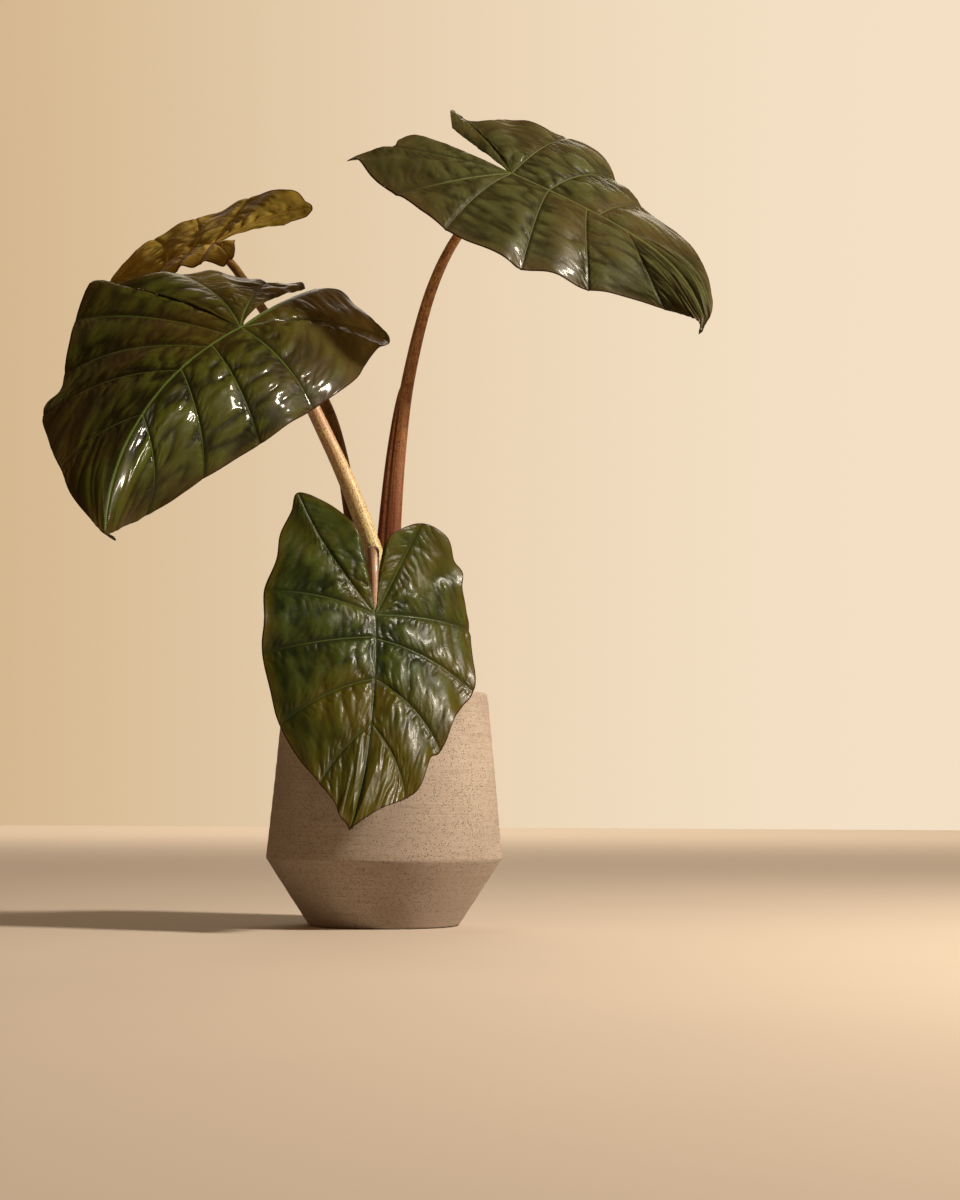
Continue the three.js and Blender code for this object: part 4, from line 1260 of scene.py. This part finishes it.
def stalk_radius(plan, share, place, angle):
    """Radius of the stalk with its flaps; angle is measured from the sheath's side."""
    reach, width, _ = plan["sheath"]
    radius = smooth_value(plan["radii"], place)
    flap_share = np.sqrt(np.maximum(0, 1 - share / reach)) * np.minimum(1, (share / SHEATH_START) ** 2)
    off = np.abs((angle + np.pi) % (2 * np.pi) - np.pi)
    flaps = np.exp(-(((off - FLAP_ANGLE) / FLAP_SPREAD) ** 2))
    shoulder = SHOULDER_SHARE * np.maximum(np.cos(off), 0) ** 3
    ridges = RIDGE_HEIGHT * np.sin(RIDGE_COUNT * angle) * np.minimum(1, share * 6)
    return radius + width * flap_share * np.maximum(flaps * 0.95, shoulder) + ridges


def leaf_stalk(name, plan, leaf):
    up = midrib_axes(leaf, np.array([0.0]))[2][0]
    joint = np.array(leaf["at"]) - up * JOINT_DEPTH
    line, places, length = smooth_line([*plan["points"], tuple(joint)], STALK_STEPS)
    start_fresh()
    bpy.ops.mesh.primitive_grid_add(x_subdivisions=STALK_STEPS, y_subdivisions=STALK_SIDES, size=1)
    tube = bpy.context.active_object
    grid = vertex_places(tube)
    step = np.round((grid[:, 0] + 0.5) * STALK_STEPS).astype(int)
    angle = (grid[:, 1] + 0.5) * 2 * np.pi
    tangent = np.gradient(line, axis=0)
    tangent /= np.linalg.norm(tangent, axis=1, keepdims=True)
    side = math.radians(plan["sheath"][2])
    heading = np.array([math.cos(side), math.sin(side), 0])
    outward = heading - tangent * (tangent @ heading)[:, None]
    outward /= np.linalg.norm(outward, axis=1, keepdims=True)
    across = np.cross(tangent, outward)
    share = step / STALK_STEPS
    radius = stalk_radius(plan, share, places[step], angle)
    into_dome = np.maximum(step - STALK_STEPS + DOME_STEPS, 0) / DOME_STEPS
    radius *= np.sqrt(np.clip(1 - into_dome**2, DOME_END, 1))
    direction = outward[step] * np.cos(angle)[:, None] + across[step] * np.sin(angle)[:, None]
    move_vertices(tube, (line[step] + direction * radius[:, None]) * MM)
    point_attribute(tube, "up_mm", share * length)
    point_attribute(tube, "up_share", share)
    point_attribute(tube, "round_x", np.cos(angle))
    point_attribute(tube, "round_y", np.sin(angle))
    bpy.ops.object.mode_set(mode="EDIT")
    bpy.ops.mesh.select_all(action="SELECT")
    bpy.ops.mesh.remove_doubles(threshold=MERGE_DISTANCE)
    bpy.ops.mesh.select_mode(type="EDGE")
    bpy.ops.mesh.select_all(action="DESELECT")
    bpy.ops.mesh.select_non_manifold(extend=False)
    bpy.ops.mesh.edge_face_add()
    bpy.ops.mesh.select_all(action="SELECT")
    bpy.ops.mesh.normals_make_consistent(inside=False)
    bpy.ops.object.mode_set(mode="OBJECT")
    print(name, "is", round(length), "mm long")
    return tube


print("Stalks will have", STALK_SIDES, "sides")

# %% [markdown]
# Stalks are satin, with long streaks, soft clouds of colour and small dark speckles. Low down a dark
# line of painted shade runs beside each flap of the sheath, in the crease where it meets the stalk, and
# the flaps have a colour of their own. The patterns are read on the attributes of the rolled grid, so
# they run up the stalk and close round it. The one on the left turns from yellow-green to tan, the
# others from red-brown at the foot to tan near the blade.

# %% Stalk finish
def stalk_finish(name, foot, top, speckle_and_crease_shade, flush, flap):
    material, tree, shader = new_material(name, Roughness=0.42, Specular_IOR_Level=0.45, Coat_Weight=0.08)
    turned = attribute(tree, "round_x")
    combine = add_node(tree, "ShaderNodeCombineXYZ")
    tree.links.new(turned, combine.inputs["X"])
    tree.links.new(attribute(tree, "round_y"), combine.inputs["Y"])
    tree.links.new(maths(tree, "MULTIPLY", attribute(tree, "up_mm"), 0.1), combine.inputs["Z"])
    wrap = combine.outputs["Vector"]
    streaks = noise_node(tree, wrap, 3.0, detail=5.0, roughness=0.6, stretch=(1.6, 1.6, 0.1))
    flecks = noise_node(tree, wrap, 6.0, detail=4.0, roughness=0.75, stretch=(1.0, 1.0, 0.8))
    clouds = noise_node(tree, wrap, 0.9, detail=3.0)
    share = attribute(tree, "up_share")
    colour = blend_colours(tree, ramp(tree, share, 0.2, 0.85), foot, top)
    colour = blend_colours(tree, ramp(tree, clouds, 0.42, 0.66, 0.0, 0.55), colour, flush)
    colour = blend_colours(tree, ramp(tree, streaks, 0.5, 0.7, 0.0, 0.5), colour, speckle_and_crease_shade)
    colour = blend_colours(tree, ramp(tree, flecks, 0.52, 0.57, 0.0, 0.85), colour, speckle_and_crease_shade)
    low = ramp(tree, share, 0.5, 0.58, 1.0, 0.0)
    # Painted shade: a dark line in the crease beside each flap of the sheath, low on the stalk.
    edge = maths(tree, "MULTIPLY", ramp(tree, turned, 0.62, 0.8), ramp(tree, turned, 0.8, 0.92, 1.0, 0.0))
    colour = blend_colours(tree, maths(tree, "MULTIPLY", edge, low), colour, speckle_and_crease_shade)
    on_flap = maths(tree, "MULTIPLY", ramp(tree, turned, 0.9, 0.95, 0.0, 0.85), low)
    colour = blend_colours(tree, on_flap, colour, flap)
    tree.links.new(colour, shader.inputs["Base Color"])
    bump(tree, shader, [(streaks, 0.35, 0.0005), (flecks, 0.2, 0.0002)])
    return material


stalk_looks = {
    "pink_stalk": {
        "foot": (0.16, 0.07, 0.045), "top": (0.36, 0.21, 0.12), "speckle_and_crease_shade": (0.12, 0.05, 0.03),
        "flush": (0.26, 0.14, 0.085), "flap": (0.22, 0.1, 0.05),
    },
    "green_stalk": {
        "foot": (0.66, 0.56, 0.24), "top": (0.42, 0.22, 0.11), "speckle_and_crease_shade": (0.17, 0.055, 0.03),
        "flush": (0.58, 0.48, 0.19), "flap": (0.6, 0.48, 0.18),
    },
    "dark_stalk": {
        "foot": (0.07, 0.02, 0.012), "top": (0.42, 0.23, 0.06), "speckle_and_crease_shade": (0.05, 0.016, 0.01),
        "flush": (0.1, 0.035, 0.018), "flap": (0.1, 0.03, 0.016),
    },
    "red_stalk": {
        "foot": (0.11, 0.02, 0.006), "top": (0.56, 0.28, 0.09), "speckle_and_crease_shade": (0.06, 0.012, 0.005),
        "flush": (0.21, 0.055, 0.02), "flap": (0.21, 0.045, 0.02),
    },
}
stalk_finishes = {name: stalk_finish(name, **look) for name, look in stalk_looks.items()}
print("Stalk finishes:", ", ".join(stalk_finishes))

# %% [markdown]
# The stalks are made in the same order as the blades. Each is listed with a finish and a slot name; two
# share the slot name, though the one at the back has a darker finish.

# %% Stalks with their finishes
stalk_builds = [
    ("front", "pink_stalk", "pink_stalk"), ("left", "green_stalk", "green_stalk"),
    ("back", "dark_stalk", "red_stalk"), ("right", "red_stalk", "red_stalk"),
]
for which, finish, slot in stalk_builds:
    tube = leaf_stalk(f"{which}_leaf_stalk", stalks[which], leaves[which])
    tube.data.materials.append(stalk_finishes[finish])
    settle(tube, f"{which}_leaf_stalk", f"{which}_stalk")

# %% [markdown]
# The set is plain. The floor is wide, pale and dull, a hair below the pot so that the two don't touch.
# Far from the plant, where the lamps no longer reach, it glows faintly for the camera alone, so that it
# stays pale from every side without lighting the leaves.

# %% Floor
FLOOR_SIZE = 14.0
FLOOR_DROP = 0.0005
GLOW_START = 1.6
GLOW_FULL = 5.5
GLOW_STRENGTH = 0.22

start_fresh()
bpy.ops.mesh.primitive_plane_add(size=FLOOR_SIZE, location=(0, 0, -FLOOR_DROP))
floor = bpy.context.active_object
floor.name = "floor"
floor_material, floor_tree, floor_shader = new_material("pale_floor", Roughness=0.9, Specular_IOR_Level=0.2)
floor_place = own_place(floor_tree)
floor_noise = noise_node(floor_tree, floor_place, 3.0)
floor_colour = blend_colours(floor_tree, floor_noise, (0.5, 0.42, 0.34), (0.53, 0.445, 0.36))
floor_tree.links.new(floor_colour, floor_shader.inputs["Base Color"])
from_pot = add_node(floor_tree, "ShaderNodeVectorMath", operation="LENGTH")
floor_tree.links.new(floor_place, from_pot.inputs["Vector"])
far_away = ramp(floor_tree, from_pot.outputs["Value"], GLOW_START, GLOW_FULL, 0.0, GLOW_STRENGTH)
seen_directly = add_node(floor_tree, "ShaderNodeLightPath").outputs["Is Camera Ray"]
glow = maths(floor_tree, "MULTIPLY", far_away, seen_directly)
floor_tree.links.new(glow, floor_shader.inputs["Emission Strength"])
floor_shader.inputs["Emission Color"].default_value = (0.95, 0.72, 0.47, 1)
floor.data.materials.append(floor_material)
print("Floor laid,", FLOOR_SIZE, "m wide")

# %% [markdown]
# The surround does two jobs. What the camera sees of it is a warm, pale backdrop that brightens towards
# the lamp's side, and its light on the plant is dimmer and warmer, so that the shaded sides stay deep.
# The light path tells the two apart.

# %% Surround
AMBIENT_STRENGTH = 0.17

world = bpy.data.worlds.new("warm_surround")
bpy.context.scene.world = world
world.use_nodes = True
world_tree = world.node_tree
seen = world_tree.nodes["Background"]
direction = add_node(world_tree, "ShaderNodeTexCoord").outputs["Generated"]
ahead = add_node(world_tree, "ShaderNodeSeparateXYZ")
world_tree.links.new(direction, ahead.inputs["Vector"])
towards_lamp = ramp(world_tree, ahead.outputs["X"], -0.42, 0.2)
seen_colour = blend_colours(world_tree, towards_lamp, (0.578, 0.382, 0.18), (0.905, 0.745, 0.552))
world_tree.links.new(seen_colour, seen.inputs["Color"])
ambient_values = {"Color": (0.9, 0.5, 0.18, 1), "Strength": AMBIENT_STRENGTH}
ambient = add_node(world_tree, "ShaderNodeBackground", ambient_values)
path = add_node(world_tree, "ShaderNodeLightPath")
choice = add_node(world_tree, "ShaderNodeMixShader")
world_tree.links.new(path.outputs["Is Camera Ray"], choice.inputs[0])
world_tree.links.new(ambient.outputs["Background"], choice.inputs[1])
world_tree.links.new(seen.outputs["Background"], choice.inputs[2])
world_tree.links.new(choice.outputs["Shader"], world_tree.nodes["World Output"].inputs["Surface"])
bpy.context.scene.view_settings.view_transform = "Standard"
print("Surround ready")

# %% [markdown]
# Three soft lamps light the set. The key stands high on the right and a little in front, and is small
# enough to leave crisp spots on the leaves. A wide weak one on the left opens the shadows, and a very
# wide one hangs over the floor behind the plant.

# %% Lamps
def soft_lamp(name, place, aim, size, power, colour):
    """A round lamp at a place in metres, turned to its aim; the size is in metres, the power in watts."""
    lamp_data = bpy.data.lights.new(name, "AREA")
    lamp_data.shape = "DISK"
    lamp_data.size = size
    lamp_data.energy = power
    lamp_data.color = colour
    lamp = bpy.data.objects.new(name, lamp_data)
    bpy.context.scene.collection.objects.link(lamp)
    direction = Vector(aim) - Vector(place)
    lamp.location = place
    lamp.rotation_euler = direction.to_track_quat("-Z", "Y").to_euler()


soft_lamp("key_lamp", (2.0, -0.85, 1.75), (0, 0, 0.5), 0.4, 120, (1.0, 0.9, 0.76))
soft_lamp("fill_lamp", (-1.7, -1.9, 1.3), (0, 0, 0.45), 1.2, 3, (1.0, 0.78, 0.5))
soft_lamp("floor_lamp", (0, 6.5, 4.0), (0, 6.5, 0), 6.0, 260, (1.0, 0.9, 0.76))
print("Set lit")
